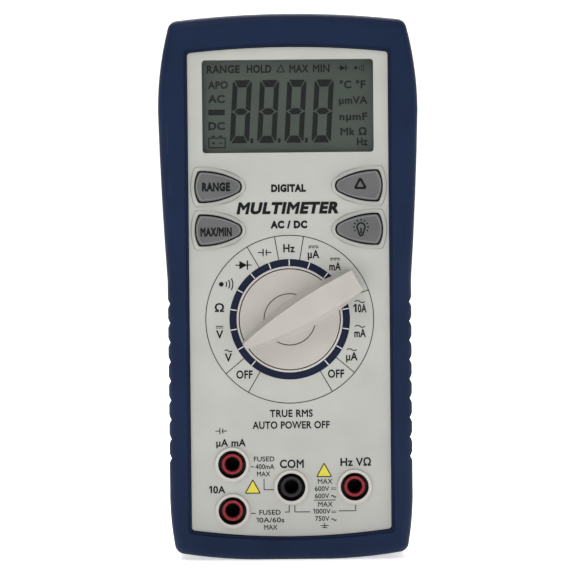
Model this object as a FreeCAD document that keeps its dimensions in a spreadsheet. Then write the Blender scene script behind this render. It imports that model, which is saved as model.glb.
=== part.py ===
import FreeCAD, Part

import math
import os
import re

import Sketcher

# Handheld digital multimeter in a soft protective boot, in millimetres.
# +Z runs from the input jacks up to the display and the front faces -Y. The origin is
# below the middle of the depth, on the surface that the meter stands on.

sizes = {
    # Overall
    "overall_wide": 77.9,
    "overall_deep": 44.0,
    "overall_tall": 164.0,
    # Clearances, and how far cutting tools and joined pieces run past a face
    "fit_gap": 0.1,
    "slide_gap": 0.05,
    "pilot_gap": 0.02,
    "shank_gap": 0.15,
    "pillar_gap": 0.3,
    "pilot_spare": 0.5,
    "weld": 0.5,
    "overrun": 1.0,
    # Boot outline, seen from the front
    "land_half": 12.0,
    "foot_rise_mid": 0.75,
    "foot_rise": 2.3,
    "foot_inset": 4.1,
    "foot_mid_inset": 2.8,
    "foot_mid_height": 11.0,
    "grip_inset": 2.35,
    "foot_height": 22.0,
    "waist_height": 84.0,
    "flare_mid_inset": 0.85,
    "flare_share": 0.52,
    "widest_drop": 29.0,
    "head_mid_drop": 15.0,
    "head_mid_inset": 1.0,
    "head_drop": 2.1,
    "head_inset": 3.75,
    "corner_round": 3.2,
    "inner_corner_round": 1.0,
    "boot_edge_round": 3.0,
    "boot_wall": 2.8,
    "boot_gap": 0.2,
    "boot_front_lip": 2.4,
    "boot_back_lip": 2.2,
    "lip_gap": 0.1,
    "window_gap": 0.25,
    "window_chamfer": 0.7,
    # Grip notches in the sides of the boot
    "notch_count": 9,
    "notch_pitch": 5.8,
    "notch_start": 31.0,
    "notch_deep": 0.75,
    "notch_half": 2.7,
    "notch_bow": 0.12,
    "notch_flare": 0.4,
    "notch_reach": 3.0,
    # Case walls and depths, from the knob's top backwards
    "knob_rise": 6.5,
    "boot_proud": 1.5,
    "overlay_thick": 0.3,
    "front_wall": 2.2,
    "case_wall": 2.2,
    "front_case_deep": 15.5,
    "tongue_deep": 1.4,
    "tongue_thick": 1.0,
    "seam_gap": 0.05,
    "rear_sunk": 0.4,
    "rear_wall": 4.6,
    # Front panel
    "panel_half": 30.0,
    "panel_low": 9.2,
    "panel_low_mid": 7.1,
    "panel_top_drop": 11.7,
    "panel_top_mid_drop": 10.1,
    "panel_corner": 1.0,
    # Display
    "display_half": 25.65,
    "display_drop": 13.8,
    "display_tall": 27.8,
    "display_corner": 1.0,
    "lens_ledge": 1.0,
    "lens_thick": 1.2,
    "glass_thick": 2.0,
    "frame_wall": 1.0,
    "light_thick": 2.0,
    "stack_gap": 0.1,
    "glass_gap": 0.4,
    "sight_gap": 0.3,
    "zebra_room": 1.0,
    "led_half": 15.4,
    "led_deep": 1.6,
    # Circuit board
    "board_depth": 8.1,
    "board_thick": 1.6,
    "board_inset": 6.0,
    "track_thick": 0.05,
    "track_first": 6.5,
    "track_pitch": 2.5,
    "track_wide": 1.0,
    "track_bar_half": 0.6,
    # Rotary switch
    "dial_height": 72.4,
    "rest_angle": -120.0,
    "recess_radius": 15.35,
    "recess_lip_wide": 0.55,
    "recess_lip_rise": 0.4,
    "recess_deep": 2.7,
    "recess_floor": 1.4,
    "recess_wall": 1.6,
    "knob_gap": 0.35,
    "knob_lift": 0.6,
    "knob_under": 0.4,
    "groove_radius": 7.7,
    "groove_deep": 0.3,
    "groove_wide": 0.3,
    "handle_tip": 15.7,
    "handle_end": 23.4,
    "handle_tip_half": 0.9,
    "handle_mid_half": 3.0,
    "handle_end_half": 3.4,
    "handle_flank": 1.7,
    "handle_end_flank": 0.3,
    "handle_waist": 2.0,
    "handle_level": 0.45,
    "handle_flank_share": 0.3,
    "handle_end_share": 0.4,
    "hub_hole": 6.5,
    "shaft_gap": 0.08,
    "rotor_radius": 13.0,
    "rotor_thick": 3.0,
    "rotor_gap": 0.2,
    "detent_radius": 14.0,
    "detent_wall": 1.6,
    "detent_notch": 1.05,
    "detent_count": 18,
    "detent_shift": 0.3,
    "ball_radius": 0.9,
    "ball_gap": 0.05,
    "spring_wall": 0.3,
    "spring_long": 4.0,
    "spring_touch": 0.8,
    "wiper_thick": 0.25,
    "wiper_wide": 1.6,
    "wiper_ring": 5.2,
    "wiper_hole": 2.9,
    "wiper_start": 4.5,
    "wiper_bump": 0.45,
    "dial_screw_radius": 1.2,
    "dial_screw_head": 2.6,
    "dial_screw_bite": 6.0,
    "dial_head_thick": 1.2,
    "board_dial_hole": 4.0,
    # Push buttons
    "key_half_long": 7.2,
    "key_half_wide": 4.85,
    "key_corner": 1.0,
    "key_heel": 0.83,
    "key_belly": 0.22,
    "key_belly_wide": 0.8,
    "key_belly_draw": 0.3,
    "key_nose": 0.78,
    "key_nose_wide": 0.45,
    "key_nose_draw": 0.7,
    "key_nose_draw_up": 0.6,
    "key_middle": 21.08,
    "key_drop_high": 51.7,
    "key_spacing": 13.0,
    "key_gap": 0.5,
    "key_lip_wide": 0.9,
    "key_lip_rise": 0.35,
    "key_proud": 1.7,
    "key_travel": 0.8,
    "key_flange": 0.6,
    "key_flange_thick": 0.8,
    "key_stem_radius": 2.2,
    "dome_radius": 3.2,
    "dome_tall": 0.6,
    "keypad_thick": 0.8,
    "keypad_edge": 1.0,
    # Input jacks
    "jack_side": 17.72,
    "jack_spacing": 19.05,
    "jack_height": 21.9,
    "jack_split": 7.0,
    "plug_radius": 2.05,
    "contact_wall": 0.5,
    "sleeve_radius": 3.1,
    "sleeve_mouth": 1.2,
    "sleeve_sunk": 1.3,
    "sleeve_flange": 4.6,
    "sleeve_flange_thick": 1.4,
    "sleeve_proud": 0.6,
    "well_radius": 4.23,
    "boss_radius": 5.15,
    "boss_rise": 0.6,
    "contact_long": 18.0,
    "contact_cap": 0.8,
    # Screws
    "case_screw_side_high": 28.6,
    "case_screw_drop": 8.8,
    "case_screw_side_low": 26.6,
    "case_screw_low": 11.3,
    "screw_boss": 2.6,
    "screw_shank": 1.3,
    "screw_head": 2.1,
    "screw_head_thick": 1.6,
    "screw_gap": 0.1,
    "screw_bite": 9.0,
    "screw_sunk": 3.0,
    "slot_deep": 0.8,
    "slot_reach": 0.6,
    "slot_wide": 0.14,
    "board_screw_side": 27.4,
    "board_screw_low": 36.5,
    "board_screw_high": 88.0,
    "post_radius": 2.1,
    "small_shank": 0.8,
    "small_head": 1.6,
    "small_head_thick": 1.1,
    "small_bite": 4.0,
    # Battery, its compartment and cover
    "battery_wide": 26.5,
    "battery_deep": 17.5,
    "battery_tall": 44.5,
    "battery_low": 40.8,
    "battery_gap": 0.3,
    "terminal_radius": 3.0,
    "terminal_tall": 2.6,
    "terminal_side": 6.35,
    "terminal_edge": 1.0,
    "terminal_strip": 0.6,
    "snap_thick": 3.0,
    "snap_wide": 25.0,
    "snap_deep": 12.0,
    "well_wall": 1.4,
    "well_spare": 4.0,
    "ledge_thick": 1.4,
    "ledge_wide": 1.5,
    "cover_half": 17.0,
    "cover_low": 34.0,
    "cover_high": 99.5,
    "cover_gap": 0.2,
    "cover_thick": 2.1,
    "cover_screw_side": 10.0,
    "cover_screw_height": 36.6,
    "cover_pillar_long": 9.0,
    "cover_bite": 5.5,
    "cover_grip_count": 4,
    "cover_grip_pitch": 2.0,
    "cover_grip_drop": 4.0,
    "cover_grip_wide": 0.8,
    "cover_grip_half": 8.0,
    "cover_grip_deep": 0.5,
    "lead_radius": 0.7,
    "lead_side": 4.0,
    "lead_bend": 8.0,
    "lead_rise": 5.0,
    "lead_slot_gap": 2.0,
    # Fuses and parts on the board's back
    "ten_fuse_radius": 5.15,
    "ten_fuse_long": 38.0,
    "ten_fuse_side": 23.0,
    "milli_fuse_radius": 3.18,
    "milli_fuse_long": 32.0,
    "milli_fuse_side": -22.0,
    "fuse_middle": 61.0,
    "fuse_cap": 7.0,
    "fuse_inset": 1.0,
    "fuse_step": 0.15,
    "clip_thick": 0.5,
    "clip_lift": 0.9,
    "clip_mouth": 0.7,
    "clip_mouth_rise": 0.5,
    "clip_foot_half": 1.5,
    "buzzer_radius": 8.0,
    "buzzer_thick": 4.5,
    "buzzer_drop": 31.0,
    "chip_half": 6.0,
    "chip_thick": 1.5,
    "chip_side": 15.0,
    "chip_height": 104.0,
    "can_radius": 3.0,
    "can_tall": 8.0,
    "can_side": -17.0,
    "can_height": 106.0,
    "disc_radius": 4.0,
    "disc_thick": 2.6,
    "disc_side": 9.0,
    "disc_height": 33.0,
    "disc_lift": 0.5,
    "shunt_half": 4.0,
    "shunt_thick": 1.4,
    "shunt_rise": 4.0,
    "shunt_side": -9.0,
    "shunt_height": 10.5,
    # Tilt stand on the back
    "back_half": 28.0,
    "back_low": 14.0,
    "back_top_drop": 16.0,
    "back_corner": 3.0,
    "stand_half": 24.0,
    "stand_low": 32.5,
    "stand_hinge": 113.0,
    "stand_gap": 0.3,
    "stand_thick": 2.1,
    "stand_recess": 2.4,
    "stand_corner": 2.0,
    "barrel_radius": 1.4,
    "barrel_rise": 0.6,
    "barrel_room": 0.8,
    "pivot_radius": 1.1,
    "pivot_long": 2.2,
    "pivot_gap": 0.05,
    "stand_slot_half": 13.0,
    "stand_slot_low": 44.0,
    "stand_slot_high": 98.0,
    "finger_half": 7.0,
    "finger_lift": 0.6,
    "finger_rise": 2.0,
    "vent_count": 5,
    "vent_pitch": 3.0,
    "vent_half": 7.0,
    "vent_wide": 1.2,
    "vent_round": 0.5,
    "vent_drop": 37.0,
}

# Places worked out from the sizes. Depths count from the knob's top, towards the back.
places = {
    "knob_top": "0 - overall_deep / 2",
    "panel_face": "knob_top + knob_rise",
    "boot_front": "panel_face - boot_proud",
    "boot_inside": "boot_front + boot_front_lip",
    "boot_back": "overall_deep / 2",
    "boot_back_inside": "boot_back - boot_back_lip",
    "plateau_face": "panel_face + overlay_thick",
    "front_inside": "plateau_face + front_wall",
    "front_shoulder": "boot_inside + lip_gap",
    "parting": "panel_face + front_case_deep",
    "rear_shoulder": "boot_back_inside - lip_gap",
    "rear_face": "boot_back - rear_sunk",
    "rear_inside": "rear_face - rear_wall",
    "board_front": "panel_face + board_depth",
    "board_back": "board_front + board_thick",
    "case_inset": "boot_wall + boot_gap",
    "room_inset": "case_inset + case_wall",
    "widest_height": "overall_tall - widest_drop",
    "flare_mid_height": "waist_height + (widest_height - waist_height) * flare_share",
    "display_high": "overall_tall - display_drop",
    "display_low": "display_high - display_tall",
    "lens_back": "front_inside",
    "lens_front": "front_inside - lens_thick",
    "glass_front": "front_inside + glass_gap",
    "glass_back": "glass_front + glass_thick",
    "light_front": "glass_back + stack_gap",
    "recess_face": "panel_face - recess_lip_rise",
    "recess_back": "panel_face + recess_deep",
    "floor_back": "recess_back + recess_floor",
    "disc_top": "panel_face - knob_lift",
    "rotor_front": "floor_back + rotor_gap",
    "rotor_back": "rotor_front + rotor_thick",
    "rotor_middle": "rotor_front + rotor_thick / 2",
    "spring_start": "rotor_radius - spring_long",
    "ball_centre": "detent_radius - ball_gap - ball_radius",
    "key_high": "overall_tall - key_drop_high",
    "key_low": "key_high - key_spacing",
    "key_top": "panel_face - key_proud",
    "key_flange_front": "front_inside + fit_gap",
    "key_flange_back": "key_flange_front + key_flange_thick",
    "keypad_front": "board_front - keypad_thick",
    "dome_top": "keypad_front - dome_tall",
    "key_stem_end": "dome_top - key_travel - fit_gap",
    "jack_mouth": "panel_face - boss_rise + sleeve_sunk",
    "jack_back": "jack_mouth + contact_long",
    "contact_radius": "plug_radius + contact_wall",
    "battery_back": "rear_inside - fit_gap",
    "battery_front": "battery_back - battery_deep",
    "battery_middle": "battery_back - battery_deep / 2",
    "battery_top": "battery_low + battery_tall",
    "well_half": "battery_wide / 2 + battery_gap",
    "well_front": "battery_front - battery_gap",
    "well_low": "battery_low - battery_gap",
    "snap_low": "battery_top + terminal_tall",
    "well_high": "snap_low + snap_thick + well_spare",
    "cover_front": "rear_inside + slide_gap",
    "cover_back": "cover_front + cover_thick",
    "stand_floor": "rear_face - stand_recess",
    "stand_front": "stand_floor + fit_gap",
    "stand_back": "stand_front + stand_thick",
    "barrel_centre": "stand_floor + barrel_rise",
    "screw_head_back": "rear_shoulder - screw_sunk",
    "screw_seat": "screw_head_back - screw_head_thick",
}

doc = FreeCAD.newDocument("DigitalMultimeter")
sheet = doc.addObject("Spreadsheet::Sheet", "Sizes")
for row, (alias, size) in enumerate(sizes.items(), 1):
    sheet.set(f"A{row}", alias)
    sheet.set(f"B{row}", str(size))
    sheet.setAlias(f"B{row}", alias)
doc.recompute()

nodes = {}


def spelled(expression):
    """The expression with each place written out and each size read from the sheet."""
    def word(match):
        name = match[0]
        if name in places:
            return "(" + spelled(places[name]) + ")"
        return "Sizes." + name if name in sizes else name
    return re.sub(r"[A-Za-z_]\w*", word, str(expression))


def number(expression):
    return float(sheet.evalExpression(spelled(expression)))


def bind(thing, place, expression):
    thing.setExpression(place, spelled(expression))


def move(thing, x="0", y="0", z="0"):
    for axis, expression in zip("xyz", (x, y, z)):
        bind(thing, f"Placement.Base.{axis}", expression)
    return thing


def box(name, x, y, z):
    """A block between pairs of places on X, Y and Z."""
    block = doc.addObject("Part::Box", name)
    for size, (start, end) in zip(("Length", "Width", "Height"), (x, y, z)):
        bind(block, size, f"({end}) - ({start})")
    return move(block, x[0], y[0], z[0])


def rod(name, radius, start, end, x="0", z="0", y="0", along="y"):
    """A round rod along one axis; start and end are places on that axis."""
    stick = doc.addObject("Part::Cylinder", name)
    bind(stick, "Radius", radius)
    bind(stick, "Height", f"({end}) - ({start})")
    turns = {"x": (FreeCAD.Vector(0, 1, 0), 90), "y": (FreeCAD.Vector(1, 0, 0), -90), "z": None}
    if turns[along]:
        stick.Placement.Rotation = FreeCAD.Rotation(*turns[along])
    where = {"x": x, "y": y, "z": z}
    where[along] = start
    return move(stick, **where)


def tube(name, outer, inner, start, end, **where):
    return cut(name, rod(name + "_outer", outer, start, end, **where),
               rod(name + "_inner", inner, start, end, **where))


def fuse(name, *pieces):
    whole = doc.addObject("Part::MultiFuse", name)
    whole.Shapes = list(pieces)
    whole.Refine = True
    return whole


def cut(name, base, *tools):
    rest = doc.addObject("Part::Cut", name)
    rest.Base = base
    rest.Tool = tools[0] if len(tools) == 1 else fuse(name + "_tools", *tools)
    rest.Refine = True
    return rest


def lock(sketch, geometry, point, u, v):
    """Fixes a point of a sketch at a place bound to the sheet."""
    for kind, expression in (("DistanceX", u), ("DistanceY", v)):
        index = sketch.addConstraint(
            Sketcher.Constraint(kind, -1, 1, geometry, point, number(expression)))
        bind(sketch, f"Constraints[{index}]", expression)


def draw(sketch, outline):
    """A closed outline of corners (u, v) and arcs (middle u, middle v, u, v)."""
    start = outline[0]
    steps = list(outline[1:])
    if steps[-1][-2:] != start:
        steps.append(start)
    for step in steps:
        flat = [FreeCAD.Vector(number(u), number(v), 0)
                for u, v in (start, step[:2], step[-2:])]
        if len(step) == 4:
            anticlockwise = (flat[1] - flat[0]).cross(flat[2] - flat[1]).z > 0
            if not anticlockwise:
                flat.reverse()
            ends = (1, 2) if anticlockwise else (2, 1)
            edge = sketch.addGeometry(Part.Arc(*flat), False)
            middle = sketch.addGeometry(Part.Point(flat[1]), True)
            lock(sketch, middle, 1, *step[:2])
            sketch.addConstraint(Sketcher.Constraint("PointOnObject", middle, 1, edge))
        else:
            edge = sketch.addGeometry(Part.LineSegment(flat[0], flat[2]), False)
            ends = (1, 2)
        lock(sketch, edge, ends[0], *start)
        lock(sketch, edge, ends[1], *step[-2:])
        start = step[-2:]


def prism(name, outline, start, end, plane="XZ", closing=None, corner=None, rounds=None):
    """A padded outline. XZ outlines run along Y, XY outlines along Z, YZ outlines along X."""
    body = doc.addObject("PartDesign::Body", name)
    origin = next(f for f in body.Origin.OriginFeatures if f.Role == plane + "_Plane")
    sketch = body.newObject("Sketcher::SketchObject", name + "_outline")
    sketch.AttachmentSupport = [(origin, "")]
    sketch.MapMode = "FlatFace"
    backwards = plane == "XZ"
    bind(sketch, "AttachmentOffset.Base.z", f"0 - ({start})" if backwards else start)
    draw(sketch, outline if closing is None else closed_by_arc(outline, closing))
    pad = body.newObject("PartDesign::Pad", name + "_pad")
    pad.Profile = sketch
    pad.Reversed = backwards
    bind(pad, "Length", f"({end}) - ({start})")
    doc.recompute()
    if corner:
        spots = corner[1] or [step[-2:] for step in outline]
        spots = [(number(u), number(v)) for u, v in spots]
        add_fillet(body, pad, corner[0], lambda e: is_corner(e, spots))
    if rounds:
        tip = body.Tip
        faces = (number(start), number(end)) if rounds[1] == "both" else (number(start),)
        add_fillet(body, tip, rounds[0], lambda e: any(lies_at(e, y) for y in faces))
    return body


def closed_by_arc(outline, middle):
    """The outline with its closing side bent through a middle point."""
    return outline + [middle + outline[0]]


def is_corner(edge, spots):
    """True for an edge along Y that stands at one of the spots."""
    extent = edge.BoundBox
    along = extent.XLength < 1e-6 and extent.ZLength < 1e-6
    return along and any(math.hypot(extent.XMin - u, extent.ZMin - v) < 1e-3 for u, v in spots)


def lies_at(edge, y):
    return abs(edge.BoundBox.YMin - y) < 1e-6 and abs(edge.BoundBox.YMax - y) < 1e-6


def add_fillet(body, base, radius, wanted):
    names = [f"Edge{i}" for i, edge in enumerate(base.Shape.Edges, 1) if wanted(edge)]
    fillet = body.newObject("PartDesign::Fillet", base.Name + "_round")
    fillet.Base = (base, names)
    bind(fillet, "Radius", radius)
    doc.recompute()
    return fillet


def node(name, thing):
    """Registers a finished piece under its node name."""
    thing.Label = name
    nodes[name] = thing
    return thing


def both_sides(right):
    """Right-hand steps, from the bottom up, followed by their mirror images, going down."""
    steps = list(right)
    path = [right[0]] + [step[-2:] for step in right[1:]]
    mirrored = [("-(" + path[-1][0] + ")", path[-1][1])]
    for previous, step in zip(reversed(path[:-1]), reversed(right[1:])):
        middle = ("-(" + step[0] + ")", step[1]) if len(step) == 4 else ()
        mirrored.append(middle + ("-(" + previous[0] + ")", previous[1]))
    return steps, mirrored


def shell_outline(inset):
    """The meter's outline seen from the front, drawn in by an inset."""
    side = f"overall_wide / 2 - ({inset})"
    top = f"overall_tall - ({inset})"
    right = [
        ("land_half", f"{inset}"),
        ("land_half * 2", f"foot_rise_mid + {inset}",
         f"{side} - foot_inset", f"foot_rise + {inset}"),
        (f"{side} - foot_mid_inset", "foot_mid_height",
         f"{side} - grip_inset", "foot_height"),
        (f"{side} - grip_inset", "waist_height"),
        (f"{side} - flare_mid_inset", "flare_mid_height",
         side, "widest_height"),
        (f"{side} - head_mid_inset", "overall_tall - head_mid_drop",
         f"{side} - head_inset", f"{top} - head_drop"),
    ]
    up, down = both_sides(right)
    return up + [("0", top) + down[0]] + down[1:]


def shell_corners(inset):
    side = f"overall_wide / 2 - ({inset})"
    return [(sign + spot[0] + ")", spot[1])
            for sign in ("(", "-(")
            for spot in ((f"{side} - foot_inset", f"foot_rise + {inset}"),
                         (f"{side} - head_inset", f"overall_tall - ({inset}) - head_drop"))]


def shell(name, inset, start, end, corner="inner_corner_round", rounds=None):
    return prism(name, shell_outline(inset), start, end,
                 corner=(corner, shell_corners(inset)), rounds=rounds)


def rectangle(half, low, high, middle="0"):
    return [(f"{middle} - ({half})", low), (f"{middle} + {half}", low),
            (f"{middle} + {half}", high), (f"{middle} - ({half})", high)]


def block(name, half, low, high, start, end, corner=None, middle="0"):
    """A rectangle seen from the front, padded along Y, with rounded corners if wanted."""
    return prism(name, rectangle(half, low, high, middle), start, end,
                 corner=(corner, None) if corner else None)


def panel(name, grow, start, end):
    """The front panel's outline, with bowed ends, grown by an amount."""
    half = f"(panel_half + {grow})"
    low = f"panel_low - ({grow})"
    high = f"overall_tall - panel_top_drop + {grow}"
    outline = [
        ("-" + half, low),
        ("0", f"panel_low_mid - ({grow})", half, low),
        (half, high),
        ("0", f"overall_tall - panel_top_mid_drop + {grow}", "-" + half, high),
    ]
    return prism(name, outline, start, end, corner=("panel_corner", None))


def round_spots(spots, make):
    """Calls make(index, x, z) for each spot and returns what it made."""
    return [make(index, x, z) for index, (x, z) in enumerate(spots, 1)]


case_screw_spots = [
    (f"{sign}case_screw_side_{row}", height)
    for row, height in (("high", "overall_tall - case_screw_drop"), ("low", "case_screw_low"))
    for sign in ("-", "")]
board_screw_spots = [
    (f"{sign}board_screw_side", f"board_screw_{row}")
    for row in ("high", "low") for sign in ("-", "")]
cover_screw_spots = [("-cover_screw_side", "cover_screw_height"),
                     ("cover_screw_side", "cover_screw_height")]
jack_spots = {
    "common": ("0", "jack_height"),
    "volt": ("jack_spacing", "jack_height"),
    "milliamp": ("-jack_side", "jack_height + jack_split"),
    "ten_amp": ("-jack_side", "jack_height - jack_split"),
}
key_spots = {
    "range": (-1, "key_high"),
    "max_min": (-1, "key_low"),
    "relative": (1, "key_high"),
    "light": (1, "key_low"),
}


def key(name, spot, inset, start, end):
    """A push button's outline, round at the outer end and drawn to a tip inwards."""
    side, middle = spot
    centre = f"{side} * key_middle"

    def at(x, z):
        return f"{centre} - {side} * ({x})", f"{middle} + {z}"

    heel = f"{inset} - key_half_long * key_heel"
    belly = f"key_half_long * key_belly - key_belly_draw * ({inset})"
    nose = f"key_half_long * key_nose - key_nose_draw * ({inset})"
    nose_half = f"key_half_wide * key_nose_wide - key_nose_draw_up * ({inset})"
    outline = [
        at(heel, f"{inset} - key_half_wide"),
        at(belly, f"{inset} - key_half_wide * key_belly_wide") + at(nose, f"0 - ({nose_half})"),
        at(f"key_half_long - ({inset})", "0") + at(nose, nose_half),
        at(belly, f"key_half_wide * key_belly_wide - ({inset})")
        + at(heel, f"key_half_wide - ({inset})"),
    ]
    close = at(f"{inset} - key_half_long", "0")
    return prism(name, outline, start, end, closing=close,
                 corner=("key_corner", outline_ends(outline)))


def outline_ends(outline):
    return [outline[0], outline[-1][-2:]]


def make_boot():
    outer = shell("boot_outer", "0", "boot_front", "boot_back", "corner_round",
                  ("boot_edge_round", "both"))
    add_notches(outer)
    room = shell("boot_room", "boot_wall", "boot_inside", "boot_back_inside")
    window = panel("boot_window", "window_gap", "boot_front - overrun", "boot_inside + overrun")
    slope = panel("boot_window_slope", "window_gap + window_chamfer",
                  "boot_front - overrun", "boot_front + window_chamfer")
    back = block("boot_back_window", "back_half + window_gap", "back_low - window_gap",
                 "overall_tall - back_top_drop + window_gap",
                 "boot_back_inside - overrun", "boot_back + overrun", "back_corner")
    node("protective_boot", cut("boot", outer, room, window, slope, back))


def add_notches(body):
    """Rows of scalloped grip notches down both sides of the boot."""
    for name, sign in (("right", ""), ("left", "-")):
        side = f"{sign}(overall_wide / 2 - grip_inset"
        outline = [
            (f"{side} - notch_deep)", "notch_start"),
            (f"{side} - notch_deep * notch_bow)", "notch_start - notch_half / 2",
             f"{side} + notch_deep * notch_flare)", "notch_start - notch_half"),
            (f"{side} + notch_deep * notch_reach)", "notch_start - notch_half"),
            (f"{side} + notch_deep * notch_reach)", "notch_start + notch_half"),
            (f"{side} + notch_deep * notch_flare)", "notch_start + notch_half"),
        ]
        outline.append((f"{side} - notch_deep * notch_bow)", "notch_start + notch_half / 2")
                       + outline[0])
        origin = {f.Role: f for f in body.Origin.OriginFeatures}
        sketch = body.newObject("Sketcher::SketchObject", f"notch_{name}_outline")
        sketch.AttachmentSupport = [(origin["XZ_Plane"], "")]
        sketch.MapMode = "FlatFace"
        draw(sketch, outline)
        pocket = body.newObject("PartDesign::Pocket", f"notch_{name}")
        pocket.Profile = sketch
        pocket.Midplane = True
        pocket.Type = "Length"
        bind(pocket, "Length", "overall_deep * 2")
        doc.recompute()
        row = body.newObject("PartDesign::LinearPattern", f"notch_{name}_row")
        row.Originals = [pocket]
        row.Direction = (origin["Z_Axis"], [""])
        bind(row, "Length", "notch_pitch * (notch_count - 1)")
        bind(row, "Occurrences", "notch_count")
        body.Tip = row
        doc.recompute()


def make_front_case():
    outer = shell("front_outer", "case_inset", "front_shoulder", "parting - seam_gap")
    room = shell("front_room", "room_inset", "front_inside", "parting + overrun")
    tongue = cut("front_tongue",
                 shell("tongue_outer", "room_inset - tongue_thick + seam_gap",
                       "parting - case_wall", "parting + tongue_deep"),
                 shell("tongue_inner", "room_inset", "parting - case_wall - overrun",
                       "parting + tongue_deep + overrun"))
    plateau = panel("front_plateau", "0", "plateau_face", "front_shoulder + weld")
    lip = rod("dial_lip", "recess_radius + recess_lip_wide", "recess_face", "front_inside",
              z="dial_height")
    dish = rod("dial_dish", "recess_radius + recess_wall", "plateau_face + weld", "floor_back",
               z="dial_height")
    bosses = [rod(f"{name}_boss", "boss_radius", "panel_face - boss_rise",
                  "board_front - sleeve_flange_thick - fit_gap", x=x, z=z)
              for name, (x, z) in jack_spots.items()]
    posts = round_spots(board_screw_spots, lambda i, x, z: rod(
        f"board_post_{i}", "post_radius", "front_inside - weld", "board_front - slide_gap", x=x, z=z))
    pillars = round_spots(case_screw_spots, lambda i, x, z: rod(
        f"front_pillar_{i}", "screw_boss", "front_inside - weld", "parting - seam_gap",
        x=x, z=z))
    lips = [key(f"{name}_key_lip", spot, "-key_lip_wide", "panel_face - key_lip_rise",
                "plateau_face + weld") for name, spot in key_spots.items()]
    detent = detent_ring()
    walls = cut("front_walls", outer, room)
    body = fuse("front_solid", walls, tongue, plateau, lip, dish, detent,
                *bosses, *posts, *pillars, *lips)
    tools = [
        block("display_opening", "display_half", "display_low", "display_high",
              "panel_face - overrun", "front_inside + overrun", "display_corner"),
        block("lens_rebate", "display_half + lens_ledge + stack_gap",
              "display_low - lens_ledge - stack_gap", "display_high + lens_ledge + stack_gap",
              "lens_front", "front_inside + overrun"),
        rod("dial_recess", "recess_radius", "recess_face - overrun", "recess_back", z="dial_height"),
        rod("dial_hub_hole", "hub_hole", "recess_back - overrun", "floor_back + overrun",
            z="dial_height"),
    ]
    tools += [key(f"{name}_key_hole", spot, "0", "panel_face - overrun", "front_inside + overrun")
              for name, spot in key_spots.items()]
    for name, (x, z) in jack_spots.items():
        tools.append(rod(f"{name}_well", "well_radius", "panel_face - boss_rise - overrun",
                         "board_front", x=x, z=z))
    tools += round_spots(board_screw_spots, lambda i, x, z: rod(
        f"board_pilot_{i}", "small_shank + pilot_gap", "board_front - small_bite", "board_front",
        x=x, z=z))
    tools += round_spots(case_screw_spots, lambda i, x, z: rod(
        f"front_pilot_{i}", "screw_shank + pilot_gap", "parting - screw_bite - pilot_spare", "parting",
        x=x, z=z))
    node("front_case", cut("front", body, *tools))


def detent_ring():
    """The ring behind the dial floor whose notches the switch's ball drops into."""
    ring = tube("detent_blank", "detent_radius + detent_wall", "detent_radius",
                "floor_back - weld", "rotor_middle + ball_radius", z="dial_height")
    notches = []
    for index in range(int(number("detent_count"))):
        turn = f"({index} * 360 / detent_count)"
        notches.append(rod(f"detent_notch_{index}", "detent_notch", "floor_back + fit_gap",
                           "rotor_middle + ball_radius + overrun",
                           x=f"(detent_radius + detent_shift) * sin({turn} * 1deg)",
                           z=f"dial_height + (detent_radius + detent_shift) * cos({turn} * 1deg)"))
    return cut("detent", ring, *notches)


def make_panel_overlay():
    film = panel("overlay_sheet", "0", "panel_face", "plateau_face")
    tools = [
        block("overlay_display", "display_half", "display_low", "display_high",
              "panel_face - overrun", "plateau_face + overrun", "display_corner"),
        rod("overlay_dial", "recess_radius + recess_lip_wide + slide_gap", "panel_face - overrun",
            "plateau_face + overrun", z="dial_height"),
    ]
    tools += [key(f"{name}_overlay_key", spot, "-key_lip_wide - slide_gap", "panel_face - overrun",
                  "plateau_face + overrun") for name, spot in key_spots.items()]
    tools += [rod(f"{name}_overlay_jack", "boss_radius + slide_gap", "panel_face - overrun",
                  "plateau_face + overrun", x=x, z=z) for name, (x, z) in jack_spots.items()]
    node("panel_overlay", cut("overlay", film, *tools))


def make_display():
    grow = "display_half + lens_ledge"
    node("display_window", block("lens", grow, "display_low - lens_ledge",
                                 "display_high + lens_ledge", "lens_front", "lens_back",
                                 "display_corner"))
    node("lcd_glass", block("glass", grow, "display_low - lens_ledge",
                            "display_high + lens_ledge", "glass_front", "glass_back"))
    node("backlight_panel", block("light", "display_half", "display_low + zebra_room",
                                  "display_high", "light_front", "light_front + light_thick"))
    node("backlight_leds", box("light_bar", ("-led_half", "led_half"),
                               ("light_front + stack_gap", "light_front + led_deep"),
                               ("display_high + slide_gap", "display_high + lens_ledge - fit_gap")))
    frame = block("frame_block", f"{grow} + stack_gap + frame_wall",
                  "display_low - lens_ledge - stack_gap - frame_wall",
                  "display_high + lens_ledge + stack_gap + frame_wall",
                  "front_inside + stack_gap", "board_front")
    hole = block("frame_hole", f"{grow} + stack_gap / 2",
                 "display_low - lens_ledge - stack_gap / 2",
                 "display_high + lens_ledge + stack_gap / 2",
                 "glass_front - stack_gap", "board_front + overrun")
    sight = block("frame_sight", "display_half + sight_gap", "display_low - sight_gap",
                  "display_high + sight_gap", "front_inside", "glass_front + overrun")
    node("lcd_frame", cut("frame", frame, hole, sight))
    node("zebra_strip", box("zebra", ("-display_half", "display_half"),
                            ("glass_back", "board_front"),
                            ("display_low - lens_ledge + fit_gap",
                             "display_low + zebra_room - fit_gap")))


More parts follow.
